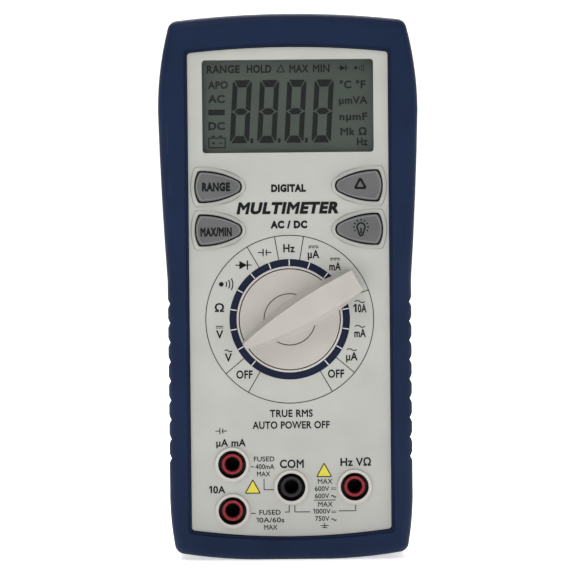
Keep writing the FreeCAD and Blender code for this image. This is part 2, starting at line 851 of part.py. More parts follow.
def make_keypad():
    low = "key_low - key_half_wide - keypad_edge"
    high = "key_high + key_half_wide + keypad_edge"
    mat = prism("keypad_mat", rectangle("key_middle + key_half_long", low, high),
                "keypad_front", "board_front", corner=("inner_corner_round", None))
    node("keypad_sheet", mat)
    for name, (side, middle) in key_spots.items():
        spot = {"x": f"{side} * key_middle", "z": middle}
        node(f"{name}_dome", rod(f"{name}_snap", "dome_radius", "dome_top", "keypad_front",
                                 **spot))
        cap = key(f"{name}_cap", (side, middle), "key_gap", "key_top",
                  "key_flange_front + key_flange_thick / 2")
        flange = key(f"{name}_flange", (side, middle), "-key_flange", "key_flange_front",
                     "key_flange_back")
        stem = rod(f"{name}_stem", "key_stem_radius", "key_flange_front", "key_stem_end",
                   **spot)
        node(f"{name}_button", fuse(f"{name}_body", cap, flange, stem))


def make_board():
    blank = shell("board_blank", "board_inset", "board_front", "board_back")
    tools = [rod("board_dial", "board_dial_hole", "board_front - overrun", "board_back + overrun",
                 z="dial_height")]
    tools += [rod(f"{name}_board_hole", "sleeve_radius + fit_gap", "board_front - overrun",
                  "board_back + overrun", x=x, z=z) for name, (x, z) in jack_spots.items()]
    tools += round_spots(case_screw_spots, lambda i, x, z: rod(
        f"board_pillar_hole_{i}", "screw_boss + pillar_gap", "board_front - overrun",
        "board_back + overrun",
        x=x, z=z))
    tools += round_spots(board_screw_spots, lambda i, x, z: rod(
        f"board_screw_hole_{i}", "small_shank + shank_gap", "board_front - overrun",
        "board_back + overrun",
        x=x, z=z))
    node("main_board", cut("board", blank, *tools))
    for index, (x, z) in enumerate(board_screw_spots, 1):
        shank = rod(f"board_shank_{index}", "small_shank", "board_front - small_bite + fit_gap",
                    "board_back + small_head_thick / 2", x=x, z=z)
        head = rod(f"board_head_{index}", "small_head", "board_back",
                   "board_back + small_head_thick", x=x, z=z)
        node(f"board_screw_{index}", fuse(f"board_screw_solid_{index}", shank, head))
    rings = [tube(f"track_{index}", f"track_first + track_pitch * {index}",
                  f"track_first + track_pitch * {index} - track_wide",
                  "board_front - track_thick", "board_front", z="dial_height")
             for index in range(3)]
    bar = box("track_bar", ("-track_bar_half", "track_bar_half"),
              ("board_front - track_thick", "board_front"),
              (f"dial_height + {track_middle(0)}", f"dial_height + {track_middle(2)}"))
    node("switch_tracks", fuse("tracks", bar, *rings))


def track_middle(index):
    """The radius at the middle of one of the switch's three tracks."""
    return f"track_first - track_wide / 2 + track_pitch * {index}"


def make_switch():
    """The knob and all that turns with it, drawn pointing up and then turned to rest."""
    disc = rod("knob_disc", "recess_radius - knob_gap", "disc_top",
               "recess_back - knob_under")
    hub = rod("knob_hub", "hub_hole - shaft_gap", "recess_back - knob_under - weld",
              "rotor_front")
    whole = fuse("knob_solid", disc, hub, knob_handle())
    groove = tube("knob_groove", "groove_radius + groove_wide / 2", "groove_radius - groove_wide / 2",
                  "disc_top - slide_gap", "disc_top + groove_deep")
    pilot = rod("knob_pilot", "dial_screw_radius + pilot_gap",
                "rotor_front - dial_screw_bite - pilot_spare", "rotor_front + overrun")
    spare = cut("knob_groove_spare", groove, knob_handle("groove_"))
    pieces = {"selector_knob": cut("knob", whole, spare, pilot)}

    rotor = rod("rotor_disc", "rotor_radius", "rotor_front", "rotor_back")
    seat = rod("rotor_seat", "dial_screw_head + fit_gap", "rotor_back - dial_head_thick",
               "rotor_back + overrun")
    hole = rod("rotor_hole", "dial_screw_radius + fit_gap", "rotor_front - overrun",
               "rotor_back + overrun")
    pocket = rod("rotor_pocket", "ball_radius + ball_gap", "spring_start",
                 "rotor_radius + overrun", y="rotor_middle", along="x")
    pieces["switch_rotor"] = cut("rotor", rotor, seat, hole, pocket)

    ball = doc.addObject("Part::Sphere", "ball")
    bind(ball, "Radius", "ball_radius")
    move(ball, "ball_centre", "rotor_middle", "0")
    pieces["detent_ball"] = ball
    pieces["detent_spring"] = tube(
        "detent_coil", "ball_radius - slide_gap", "ball_radius - slide_gap - spring_wall",
        "spring_start", "ball_centre - ball_radius * spring_touch",
        y="rotor_middle", along="x")

    shank = rod("knob_screw_shank", "dial_screw_radius",
                "rotor_front - dial_screw_bite", "rotor_back - dial_head_thick / 2")
    head = rod("knob_screw_head", "dial_screw_head", "rotor_back - dial_head_thick",
               "rotor_back - fit_gap")
    pieces["knob_screw"] = fuse("knob_screw_solid", shank, head)
    pieces["wiper_clips"] = wiper_clips()

    for name, piece in pieces.items():
        node(name, turn_to_rest(piece))


def turn_to_rest(piece):
    """Stands a piece of the switch on the dial's centre, turned to its rest position."""
    placed = doc.addObject("Part::Compound", piece.Name + "_placed")
    placed.Links = [piece]
    placed.Placement.Rotation = FreeCAD.Rotation(FreeCAD.Vector(0, 1, 0), 1)
    bind(placed, "Placement.Rotation.Angle", "rest_angle")
    return move(placed, z="dial_height")


def knob_handle(prefix=""):
    """The bar across the knob: a narrow pointer that widens to a flat-cut finger end."""
    def level(flank, end_flank):
        tip = f"handle_tip_half + {end_flank}"
        middle = f"handle_mid_half + {flank}"
        end = f"handle_end_half + {end_flank}"
        right = [(tip, "handle_tip"), (middle, "handle_waist", end, "0 - handle_end")]
        up, down = both_sides(right)
        return up + down

    body = doc.addObject("PartDesign::Body", prefix + "handle")
    origin = next(f for f in body.Origin.OriginFeatures if f.Role == "XZ_Plane")
    levels = []
    for place, flank, end_flank in (
            ("disc_top + slide_gap", "handle_flank", "handle_end_flank"),
            ("disc_top - (disc_top - knob_top) * handle_level",
             "handle_flank * handle_flank_share", "handle_end_flank * handle_end_share"),
            ("knob_top", "0", "0")):
        sketch = body.newObject("Sketcher::SketchObject", f"{prefix}handle_level")
        sketch.AttachmentSupport = [(origin, "")]
        sketch.MapMode = "FlatFace"
        bind(sketch, "AttachmentOffset.Base.z", f"0 - ({place})")
        draw(sketch, level(flank, end_flank))
        levels.append(sketch)
    loft = body.newObject("PartDesign::AdditiveLoft", prefix + "handle_loft")
    loft.Profile = levels[0]
    loft.Sections = levels[1:]
    loft.Ruled = False
    return body


def wiper_clips():
    """Three sprung contact strips on a ring, each with a bump just clear of its track."""
    ring = tube("wiper_hoop", "wiper_ring", "wiper_hole", "rotor_back",
                "rotor_back + wiper_thick")
    pieces = [ring]
    bump_end = "board_front - track_thick - slide_gap"
    for index in range(3):
        radius = track_middle(index)
        turn = f"({index} * 120 + 150)"
        strip = box(f"wiper_strip_{index}", ("0 - wiper_wide / 2", "wiper_wide / 2"),
                    ("rotor_back", "rotor_back + wiper_thick"),
                    ("wiper_start", f"{radius} + wiper_wide / 2"))
        strip.Placement.Rotation = FreeCAD.Rotation(FreeCAD.Vector(0, 1, 0), 1)
        bind(strip, "Placement.Rotation.Angle", turn)
        east, north = f"sin({turn} * 1deg)", f"cos({turn} * 1deg)"
        bind(strip, "Placement.Base.x", f"wiper_start * {east} - wiper_wide / 2 * {north}")
        bind(strip, "Placement.Base.z", f"wiper_start * {north} + wiper_wide / 2 * {east}")
        bump = rod(f"wiper_tip_{index}", "wiper_bump", "rotor_back + wiper_thick / 2", bump_end,
                   x=f"({radius}) * {east}", z=f"({radius}) * {north}")
        pieces += [strip, bump]
    return fuse("wipers", *pieces)


def make_jacks():
    for name, (x, z) in jack_spots.items():
        spot = {"x": x, "z": z}
        base = "board_front - sleeve_flange_thick"
        sleeve = fuse(f"{name}_sleeve_solid",
                      rod(f"{name}_sleeve_tube", "sleeve_radius", "jack_mouth",
                          "board_back + sleeve_proud", **spot),
                      rod(f"{name}_sleeve_foot", "sleeve_flange", base, "board_front", **spot))
        bore = rod(f"{name}_sleeve_bore", "plug_radius", "jack_mouth - overrun",
                   "jack_mouth + sleeve_mouth + overrun", **spot)
        seat = rod(f"{name}_sleeve_seat", "contact_radius + pilot_gap",
                   "jack_mouth + sleeve_mouth", "board_back + overrun", **spot)
        node(f"{name}_jack_sleeve", cut(f"{name}_sleeve", sleeve, bore, seat))
        contact = rod(f"{name}_contact_rod", "contact_radius", "jack_mouth + sleeve_mouth",
                      "jack_back + contact_cap", **spot)
        hole = rod(f"{name}_contact_bore", "plug_radius", "jack_mouth", "jack_back", **spot)
        node(f"{name}_jack_contact", cut(f"{name}_contact", contact, hole))


def make_rear_case():
    outer = shell("rear_outer", "case_inset", "parting", "rear_shoulder")
    plateau = block("rear_plateau", "back_half", "back_low", "overall_tall - back_top_drop",
                    "rear_shoulder - weld", "rear_face", "back_corner")
    room = shell("rear_room", "room_inset", "parting - overrun", "rear_inside")
    rebate = shell("rear_rebate", "room_inset - tongue_thick", "parting - overrun",
                   "parting + tongue_deep + fit_gap")
    well = box("well_block", ("0 - well_half - well_wall", "well_half + well_wall"),
               ("well_front - well_wall", "rear_inside + weld"),
               ("well_low - well_wall", "well_high + well_wall"))
    ledge = box("ledge_block", ("-cover_half - ledge_wide", "cover_half + ledge_wide"),
                ("rear_inside - ledge_thick", "rear_inside + weld"),
                ("cover_low - ledge_wide", "cover_high + cover_gap + ledge_wide"))
    pillars = round_spots(case_screw_spots, lambda i, x, z: rod(
        f"rear_pillar_{i}", "screw_boss + fit_gap", "parting", "rear_inside + weld", x=x, z=z))
    pillars += round_spots(cover_screw_spots, lambda i, x, z: rod(
        f"cover_pillar_{i}", "post_radius", "rear_inside - cover_pillar_long", "rear_inside + weld",
        x=x, z=z))
    body = fuse("rear_solid", cut("rear_walls", fuse("rear_skin", outer, plateau), room, rebate),
                well, ledge, *pillars)
    recess_half = "(stand_half + stand_gap)"
    tools = [
        box("well_room", ("0 - well_half", "well_half"), ("well_front", "rear_inside + overrun"),
            ("well_low", "well_high")),
        box("lead_slot", ("-lead_side - lead_slot_gap", "lead_side + lead_slot_gap"),
            ("battery_middle - lead_slot_gap", "battery_middle + lead_slot_gap"),
            ("well_high - overrun", "well_high + well_wall + overrun")),
        block("cover_opening", "cover_half + cover_gap", "cover_low", "cover_high + cover_gap",
              "rear_inside", "rear_face + overrun"),
        block("stand_bed", recess_half, "stand_low - stand_gap",
              "stand_hinge + barrel_radius + stand_gap", "stand_floor", "rear_face + overrun",
              "stand_corner"),
        block("barrel_bed", recess_half, "stand_hinge - barrel_radius - barrel_room",
              "stand_hinge + barrel_radius + stand_gap", "barrel_centre - barrel_radius - fit_gap",
              "rear_face + overrun"),
        rod("pivot_bore", "pivot_radius + pivot_gap", f"0 - {recess_half} - pivot_long",
            f"{recess_half} + pivot_long", y="barrel_centre", z="stand_hinge", along="x"),
        cut("tongue_groove",
            shell("groove_outer", "room_inset - tongue_thick", "parting - overrun",
                  "parting + tongue_deep + fit_gap"),
            shell("groove_inner", "room_inset + slide_gap", "parting - overrun * 2",
                  "parting + tongue_deep + overrun")),
        rod("finger_scoop", "finger_half", "stand_floor + finger_lift", "rear_face + overrun",
            z="stand_low + finger_rise"),
    ]
    tools += round_spots(case_screw_spots, lambda i, x, z: rod(
        f"rear_screw_hole_{i}", "screw_shank + screw_gap", "parting - overrun", "rear_face + overrun",
        x=x, z=z))
    tools += round_spots(case_screw_spots, lambda i, x, z: rod(
        f"rear_screw_sink_{i}", "screw_head + screw_gap", "screw_seat", "rear_face + overrun",
        x=x, z=z))
    tools += round_spots(cover_screw_spots, lambda i, x, z: rod(
        f"cover_pilot_{i}", "small_shank + pilot_gap", "rear_inside - cover_bite - pilot_spare",
        "rear_inside + overrun",
        x=x, z=z))
    for index in range(int(number("vent_count"))):
        height = f"(overall_tall - vent_drop + {index} * vent_pitch)"
        tools.append(block(f"vent_{index}", "vent_half", height, f"{height} + vent_wide",
                           "rear_inside - overrun", "rear_face + overrun", "vent_round"))
    node("rear_case", cut("rear", body, *tools))
    for index, (x, z) in enumerate(case_screw_spots, 1):
        shank = rod(f"case_shank_{index}", "screw_shank", "parting - screw_bite",
                    "screw_seat + screw_head_thick / 2", x=x, z=z)
        head = rod(f"case_head_{index}", "screw_head", "screw_seat", "screw_head_back", x=x, z=z)
        slot = cross_slot(f"case_slot_{index}", x, z, "screw_head_back", "screw_head")
        node(f"case_screw_{index}",
             cut(f"case_screw_solid_{index}", fuse(f"case_screw_blank_{index}", shank, head),
                 slot))


def cross_slot(name, x, z, back, radius):
    """A cross-shaped driver recess in a screw head that faces the back."""
    bars = [box(f"{name}_{way}", (f"{x} - {half}", f"{x} + {half}"),
                (f"{back} - slot_deep", f"{back} + overrun"), (f"{z} - {tall}", f"{z} + {tall}"))
            for way, half, tall in (
                ("flat", f"({radius} * slot_reach)", f"({radius} * slot_wide)"),
                ("up", f"({radius} * slot_wide)", f"({radius} * slot_reach)"))]
    return fuse(name, *bars)


def make_battery():
    cell = prism("battery_can", [
        ("0 - battery_wide / 2", "battery_front"), ("battery_wide / 2", "battery_front"),
        ("battery_wide / 2", "battery_back"), ("0 - battery_wide / 2", "battery_back")],
        "battery_low", "battery_top", plane="XY")
    node("battery", cell)
    studs = [rod(f"terminal_{sign}", "terminal_radius", "battery_top",
                 "battery_top + terminal_tall", x=f"{sign} * terminal_side",
                 y="battery_middle", along="z") for sign in (-1, 1)]
    strip = box("terminal_strip", ("terminal_edge - battery_wide / 2",
                                   "battery_wide / 2 - terminal_edge"),
                ("battery_front + terminal_edge", "battery_back - terminal_edge"),
                ("battery_top", "battery_top + terminal_strip"))
    node("battery_terminals", fuse("terminals", strip, *studs))
    node("battery_snap", box("snap", ("0 - snap_wide / 2", "snap_wide / 2"),
                             ("battery_middle - snap_deep / 2", "battery_middle + snap_deep / 2"),
                             ("snap_low", "snap_low + snap_thick")))
    start = "snap_low + snap_thick"
    for name, sign in (("red", -1), ("black", 1)):
        x = f"{sign} * lead_side"
        bend = doc.addObject("Part::Torus", f"lead_bend_{name}")
        bind(bend, "Radius1", "lead_bend")
        bind(bend, "Radius2", "lead_radius")
        bend.Angle3 = 90
        bend.Placement.Rotation = FreeCAD.Rotation(
            FreeCAD.Vector(0, 1, 0), FreeCAD.Vector(0, 0, 1), FreeCAD.Vector(1, 0, 0), "XYZ")
        move(bend, x, "battery_middle - lead_bend", f"{start} + lead_rise")
        up = rod(f"lead_up_{name}", "lead_radius", start, f"{start} + lead_rise",
                 x=x, y="battery_middle", along="z")
        inward = rod(f"lead_in_{name}", "lead_radius", "board_back",
                     "battery_middle - lead_bend", x=x,
                     z=f"{start} + lead_rise + lead_bend")
        node(f"battery_lead_{name}", fuse(f"lead_{name}", up, bend, inward))


def make_battery_cover():
    plate = block("cover_plate", "cover_half", "cover_low + cover_gap", "cover_high",
                  "cover_front", "cover_back", "panel_corner")
    holes = round_spots(cover_screw_spots, lambda i, x, z: rod(
        f"cover_hole_{i}", "small_shank + shank_gap", "cover_front - overrun",
        "cover_back + overrun", x=x, z=z))
    sinks = round_spots(cover_screw_spots, lambda i, x, z: rod(
        f"cover_sink_{i}", "small_head + fit_gap", "cover_back - small_head_thick",
        "cover_back + overrun", x=x, z=z))
    top = "cover_high - cover_grip_drop"
    grips = [box(f"cover_grip_{i}", ("-cover_grip_half", "cover_grip_half"),
                 ("cover_back - cover_grip_deep", "cover_back + overrun"),
                 (f"{top} - {i} * cover_grip_pitch",
                  f"{top} - {i} * cover_grip_pitch + cover_grip_wide"))
             for i in range(int(number("cover_grip_count")))]
    node("battery_cover", cut("cover", plate, *holes, *sinks, *grips))
    for index, (x, z) in enumerate(cover_screw_spots, 1):
        shank = rod(f"cover_shank_{index}", "small_shank", "rear_inside - cover_bite",
                    "cover_back - small_head_thick / 2", x=x, z=z)
        head = rod(f"cover_head_{index}", "small_head", "cover_back - small_head_thick",
                   "cover_back - slide_gap", x=x, z=z)
        slot = cross_slot(f"cover_slot_{index}", x, z, "cover_back - slide_gap", "small_head")
        node(f"battery_cover_screw_{index}",
             cut(f"cover_screw_solid_{index}", fuse(f"cover_screw_blank_{index}", shank, head),
                 slot))


def make_fuses():
    clips = []
    for name in ("ten", "milli"):
        spot = {"x": f"{name}_fuse_side",
                "y": f"(board_back + clip_lift + {name}_fuse_radius)", "along": "z"}
        half = f"{name}_fuse_long / 2"
        barrel = rod(f"{name}_barrel", f"{name}_fuse_radius - fuse_step",
                     f"fuse_middle - {half} + fuse_inset",
                     f"fuse_middle + {half} - fuse_inset", **spot)
        caps = [rod(f"{name}_cap_{end}", f"{name}_fuse_radius", low, high, **spot)
                for end, low, high in (
                    ("low", f"fuse_middle - {half}", f"fuse_middle - {half} + fuse_cap"),
                    ("high", f"fuse_middle + {half} - fuse_cap", f"fuse_middle + {half}"))]
        label = {"ten": "ten_amp", "milli": "milliamp"}[name]
        node(f"{label}_fuse", fuse(f"{name}_fuse", barrel, *caps))
        for end, low in (("low", f"fuse_middle - {half} + fuse_inset"),
                         ("high", f"fuse_middle + {half} - fuse_cap + fuse_inset")):
            high = f"{low} + fuse_cap - fuse_inset * 2"
            ring = tube(f"{name}_clip_{end}", f"{name}_fuse_radius + clip_thick",
                        f"{name}_fuse_radius", low, high, **spot)
            mouth = box(f"{name}_clip_mouth_{end}",
                        (f"{name}_fuse_side - {name}_fuse_radius * clip_mouth",
                         f"{name}_fuse_side + {name}_fuse_radius * clip_mouth"),
                        (f"{spot['y']} + {name}_fuse_radius * clip_mouth_rise",
                         f"{spot['y']} + {name}_fuse_radius * 2"), 
                        (f"{low} - overrun", f"{high} + overrun"))
            foot = box(f"{name}_clip_foot_{end}",
                       (f"{name}_fuse_side - clip_foot_half", f"{name}_fuse_side + clip_foot_half"),
                       ("board_back", "board_back + clip_lift - clip_thick / 2"), (low, high))
            clips.append(fuse(f"{name}_clip_solid_{end}",
                              cut(f"{name}_clip_open_{end}", ring, mouth), foot))
    node("fuse_clips", fuse("clips", *clips))


def make_board_parts():
    node("buzzer", rod("buzzer_can", "buzzer_radius", "board_back", "board_back + buzzer_thick",
                       z="overall_tall - buzzer_drop"))
    node("processor_chip", block("chip", "chip_half", "chip_height - chip_half",
                                 "chip_height + chip_half", "board_back",
                                 "board_back + chip_thick", middle="chip_side"))
    node("capacitor", rod("can", "can_radius", "board_back", "board_back + can_tall",
                          x="can_side", z="can_height"))
    node("varistor", rod("disc", "disc_radius", "disc_side", "disc_side + disc_thick",
                         y="board_back + disc_radius + disc_lift", z="disc_height", along="x"))
    legs = [box(f"shunt_leg_{sign}",
                (f"shunt_side + {sign} * shunt_half - shunt_thick / 2",
                 f"shunt_side + {sign} * shunt_half + shunt_thick / 2"),
                ("board_back", "board_back + shunt_rise"),
                ("shunt_height - shunt_thick / 2", "shunt_height + shunt_thick / 2"))
            for sign in (-1, 1)]
    bridge = box("shunt_bridge",
                 ("shunt_side - shunt_half - shunt_thick / 2",
                  "shunt_side + shunt_half + shunt_thick / 2"),
                 ("board_back + shunt_rise - shunt_thick", "board_back + shunt_rise"),
                 ("shunt_height - shunt_thick / 2", "shunt_height + shunt_thick / 2"))
    node("shunt_bar", fuse("shunt", bridge, *legs))


def make_stand():
    plate = block("stand_plate", "stand_half", "stand_low", "stand_hinge", "stand_front",
                  "stand_back", "stand_corner")
    barrel = rod("stand_barrel", "barrel_radius", "0 - stand_half", "stand_half",
                 y="barrel_centre", z="stand_hinge", along="x")
    pivot = rod("stand_pivot", "pivot_radius", "fit_gap - stand_half - stand_gap - pivot_long",
                "stand_half + stand_gap + pivot_long - fit_gap", y="barrel_centre",
                z="stand_hinge", along="x")
    slot = block("stand_slot", "stand_slot_half", "stand_slot_low", "stand_slot_high",
                 "stand_front - overrun", "stand_back + overrun", "stand_corner")
    node("tilt_stand", cut("stand", fuse("stand_solid", plate, barrel, pivot), slot))


make_boot()
make_front_case()
make_panel_overlay()
make_display()
make_keypad()
make_board()
make_switch()
make_jacks()
make_rear_case()
make_battery()
make_battery_cover()
make_fuses()
make_board_parts()
make_stand()
doc.recompute()

faults = [thing.Name for thing in doc.Objects
          if "Invalid" in thing.State or "Error" in thing.State]
for name, thing in nodes.items():
    if thing.Shape.isNull() or not thing.Shape.isValid():
        faults.append(name)
if faults:
    raise RuntimeError("failed: " + ", ".join(faults))

os.makedirs("parts", exist_ok=True)
for name, thing in nodes.items():
    thing.Shape.exportStep(f"parts/{name}.step")
print(len(nodes), "nodes written")
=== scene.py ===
import bpy
import bmesh
from math import cos, sin, radians
from mathutils import Matrix, Vector


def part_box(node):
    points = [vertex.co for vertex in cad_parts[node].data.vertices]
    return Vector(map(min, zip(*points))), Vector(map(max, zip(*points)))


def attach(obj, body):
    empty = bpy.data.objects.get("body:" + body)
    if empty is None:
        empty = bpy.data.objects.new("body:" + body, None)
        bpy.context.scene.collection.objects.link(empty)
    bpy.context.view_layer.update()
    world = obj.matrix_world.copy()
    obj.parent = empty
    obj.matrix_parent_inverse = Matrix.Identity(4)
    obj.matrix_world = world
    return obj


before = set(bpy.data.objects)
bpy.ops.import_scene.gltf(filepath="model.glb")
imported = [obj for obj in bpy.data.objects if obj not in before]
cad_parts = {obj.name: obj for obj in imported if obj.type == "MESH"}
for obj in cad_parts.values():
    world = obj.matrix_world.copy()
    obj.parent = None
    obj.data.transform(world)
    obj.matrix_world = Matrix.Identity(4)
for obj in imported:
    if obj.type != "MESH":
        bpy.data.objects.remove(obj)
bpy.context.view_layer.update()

mm = 0.001  # sizes below are in millimetres and meshes are in metres


def nodeBox(name):
    low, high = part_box(name)
    return [v / mm for v in low], [v / mm for v in high]


def middle(name):
    low, high = nodeBox(name)
    return [(a + b) / 2 for a, b in zip(low, high)]


keyNames = ("range", "max_min", "relative", "light")
jackNames = ("common", "volt", "milliamp", "ten_amp")
keyPlace = {name: middle(name + "_dome") for name in keyNames}
jackPlace = {name: middle(name + "_jack_sleeve") for name in jackNames}
dialHeight = middle("switch_tracks")[2]

# heights towards the front: the frontmost Y of each part that carries print
panelFace = nodeBox("panel_overlay")[0][1]
lcdFace = nodeBox("lcd_glass")[0][1]
keyFace = nodeBox("range_button")[0][1]
jackMouth = nodeBox("volt_jack_sleeve")[0][1]


# materials

def linear(hexColour):
    channels = [int(hexColour[i:i + 2], 16) / 255 for i in (1, 3, 5)]
    return [c / 12.92 if c <= 0.04045 else ((c + 0.055) / 1.055) ** 2.4 for c in channels] + [1]


def addNode(tree, kind, links=None, **settings):
    made = tree.nodes.new(kind)
    for key, value in settings.items():
        setattr(made, key, value)
    for socket, source in (links or {}).items():
        if isinstance(source, bpy.types.NodeSocket):
            tree.links.new(source, made.inputs[socket])
        else:
            made.inputs[socket].default_value = source
    return made


def startMaterial(name, colour, roughness, metallic=0.0, ior=None, **sockets):
    material = bpy.data.materials.new(name)
    material.use_nodes = True
    tree = material.node_tree
    shader = tree.nodes["Principled BSDF"]
    shader.inputs["Base Color"].default_value = linear(colour)
    shader.inputs["Roughness"].default_value = roughness
    shader.inputs["Metallic"].default_value = metallic
    if ior:
        shader.inputs["IOR"].default_value = ior
    for socket, value in sockets.items():
        shader.inputs[socket.replace("_", " ")].default_value = value
    place = addNode(tree, "ShaderNodeTexCoord").outputs["Object"]
    return material, tree, shader, place


def grain(tree, place, size, detail=4):
    # noise whose blotches are about size millimetres across
    return addNode(tree, "ShaderNodeTexNoise", {
        "Vector": place, "Scale": 1 / (size * mm), "Detail": detail}).outputs["Fac"]


def tint(tree, shader, factor, dark, light, low=0.3, high=0.7):
    # runs the base colour from dark to light as the factor goes from low to high
    ramp = addNode(tree, "ShaderNodeValToRGB", {"Fac": factor})
    ramp.color_ramp.elements[0].position = low
    ramp.color_ramp.elements[0].color = linear(dark)
    ramp.color_ramp.elements[1].position = high
    ramp.color_ramp.elements[1].color = linear(light)
    tree.links.new(ramp.outputs["Color"], shader.inputs["Base Color"])


def spread(tree, shader, factor, low, high):
    span = addNode(tree, "ShaderNodeMapRange", {"Value": factor, "To Min": low, "To Max": high})
    tree.links.new(span.outputs["Result"], shader.inputs["Roughness"])


def emboss(tree, shader, factor, depth, strength):
    bump = addNode(tree, "ShaderNodeBump", {
        "Height": factor, "Distance": depth * mm, "Strength": strength})
    tree.links.new(bump.outputs["Normal"], shader.inputs["Normal"])


def blend(tree, factor, first, second):
    # the colour output of a mix of two colours
    mix = addNode(tree, "ShaderNodeMix", {"Factor": factor, 6: first, 7: second},
                  data_type="RGBA")
    return mix.outputs[2]


plastic = {"blotch": 14, "ior": 1.5, "smoother": 0.06, "rougher": 0.08, "strength": 0.35}


def makeMouldedPlastic(name, dark, light, roughness, grainSize=0.5, depth=0.02):
    # injection moulded plastic: a fine spark-eroded grain breaks up a soft sheen
    material, tree, shader, place = startMaterial(name, light, roughness, ior=plastic["ior"])
    tint(tree, shader, grain(tree, place, plastic["blotch"]), dark, light)
    fine = grain(tree, place, grainSize, detail=2)
    spread(tree, shader, fine, roughness - plastic["smoother"], roughness + plastic["rougher"])
    emboss(tree, shader, fine, depth, plastic["strength"])
    return material


# painted shade: recesses are mixed towards this near black colour
recess = {"fade": 0.6, "paintedShade": "#0B0B0C"}


def paintDeepShade(tree, shader, place, rim):
    # below the rim the moulding is mixed towards almost black: painted shade for the light a recess
    # loses
    depth = addNode(tree, "ShaderNodeSeparateXYZ", {"Vector": place}).outputs["Y"]
    share = addNode(tree, "ShaderNodeMapRange", {
        "Value": depth, "From Min": rim * mm, "From Max": (rim + recess["fade"]) * mm})
    surface = shader.inputs["Base Color"].links[0].from_socket
    mixed = blend(tree, share.outputs["Result"], surface, linear(recess["paintedShade"]))
    tree.links.new(mixed, shader.inputs["Base Color"])


def makeDeepPlastic(rim, *settings):
    # moulded plastic with painted shade behind the plane Y = rim
    material = makeMouldedPlastic(*settings)
    tree = material.node_tree
    place = next(n for n in tree.nodes if n.type == "TEX_COORD").outputs["Object"]
    paintDeepShade(tree, tree.nodes["Principled BSDF"], place, rim)
    return material


boot = {
    "dark": "#12203A",
    "light": "#162541",
    "blotch": 18,
    "pore": 0.7,       # coarser than a real mould grain, so that it still shows
    "poreDeep": 0.03,
    "poreStrength": 0.3,
    "wax": 3,
    "smooth": 0.44,    # the roughness runs between these two
    "rough": 0.58,
    "specular": 0.12,
}


def makeBootElastomer():
    # thermoplastic elastomer: dull, slightly waxy, with a fine leather-like mould grain
    material, tree, shader, place = startMaterial(
        "bootElastomer", boot["light"], boot["rough"], ior=1.5,
        Specular_IOR_Level=boot["specular"])
    tint(tree, shader, grain(tree, place, boot["blotch"], detail=6), boot["dark"], boot["light"])
    pores = addNode(tree, "ShaderNodeTexVoronoi", {
        "Vector": place, "Scale": 1 / (boot["pore"] * mm)})
    wax = grain(tree, place, boot["wax"], detail=5)
    spread(tree, shader, wax, boot["smooth"], boot["rough"])
    emboss(tree, shader, pores.outputs["Distance"], boot["poreDeep"], boot["poreStrength"])
    return material


case = {
    "split": 90,       # above this height the case's rims round the keys are panel grey
    "upper": "#B4B5AF",
    "lowerDark": "#BDB8B2",
    "lowerLight": "#C4BFB9",
    "blotch": 12,
    "grain": 0.5,
    "grainDeep": 0.015,
    "grainStrength": 0.3,
    "smooth": 0.3,
    "rough": 0.44,
    "shadeFrom": 0.3,  # how far behind the panel's face the painted shade in its recesses begins
}


def makeCaseFront():
    # moulded ABS: warm cream rings round the dial and jacks, panel grey rims round the keys, and
    # painted shade in its recesses
    material, tree, shader, place = startMaterial(
        "caseAbs", case["lowerLight"], case["rough"], ior=1.52)
    height = addNode(tree, "ShaderNodeSeparateXYZ", {"Vector": place}).outputs["Z"]
    above = addNode(tree, "ShaderNodeMath", {0: height, 1: case["split"] * mm},
                    operation="GREATER_THAN")
    lower = blend(tree, grain(tree, place, case["blotch"]),
                  linear(case["lowerDark"]), linear(case["lowerLight"]))
    whole = blend(tree, above.outputs[0], lower, linear(case["upper"]))
    tree.links.new(whole, shader.inputs["Base Color"])
    paintDeepShade(tree, shader, place, panelFace + case["shadeFrom"])
    fine = grain(tree, place, case["grain"], detail=2)
    spread(tree, shader, fine, case["smooth"], case["rough"])
    emboss(tree, shader, fine, case["grainDeep"], case["grainStrength"])
    return material


metal = {"line": 0.25, "stretch": 6, "smoother": 0.06, "rougher": 0.1, "deep": 0.01,
         "strength": 0.25}


def makeMetal(name, colour, roughness):
    # plated or drawn metal: fine lines across the rod blur the reflections
    material, tree, shader, place = startMaterial(name, colour, roughness, 1.0)
    stretched = addNode(tree, "ShaderNodeMapping", {
        "Vector": place, "Scale": (1, metal["stretch"], 1)})
    lines = grain(tree, stretched.outputs["Vector"], metal["line"], detail=3)
    spread(tree, shader, lines, roughness - metal["smoother"], roughness + metal["rougher"])
    emboss(tree, shader, lines, metal["deep"], metal["strength"])
    return material


def makeWindowGlass():
    # hard-coated acrylic lens: clear, with a thin glossy surface
    return startMaterial("lensAcrylic", "#FFFFFF", 0.03, ior=1.33,
                         Transmission_Weight=1.0, Specular_IOR_Level=0.25)[0]


glass = {"dark": "#475249", "light": "#4D584F", "blotch": 22, "grain": 0.4, "grainDeep": 0.01,
         "strength": 0.2}


def makeLcdGlass():
    # reflective liquid crystal cell: grey-green with a soft satin polariser over it
    material, tree, shader, place = startMaterial("lcdPolariser", glass["light"], 0.42, ior=1.5)
    cloud = grain(tree, place, glass["blotch"], detail=3)
    satin = grain(tree, place, glass["grain"], detail=2)
    tint(tree, shader, cloud, glass["dark"], glass["light"])
    emboss(tree, shader, satin, glass["grainDeep"], glass["strength"])
    return material


def makeInk(name, colour, roughness=0.55):
    # screen-printed ink: slightly uneven cover over the film
    blotch, uneven = 1.5, 0.06
    material, tree, shader, place = startMaterial(
        name, colour, roughness, ior=1.45, Specular_IOR_Level=0.2)
    spread(tree, shader, grain(tree, place, blotch), roughness - uneven, roughness + uneven)
    return material


keyShadeFrom = 0.5   # behind the key's face, so painted shade darkens only its skirt
jackShadeFrom = 1    # behind the mouth of a jack's sleeve, where its painted shade begins
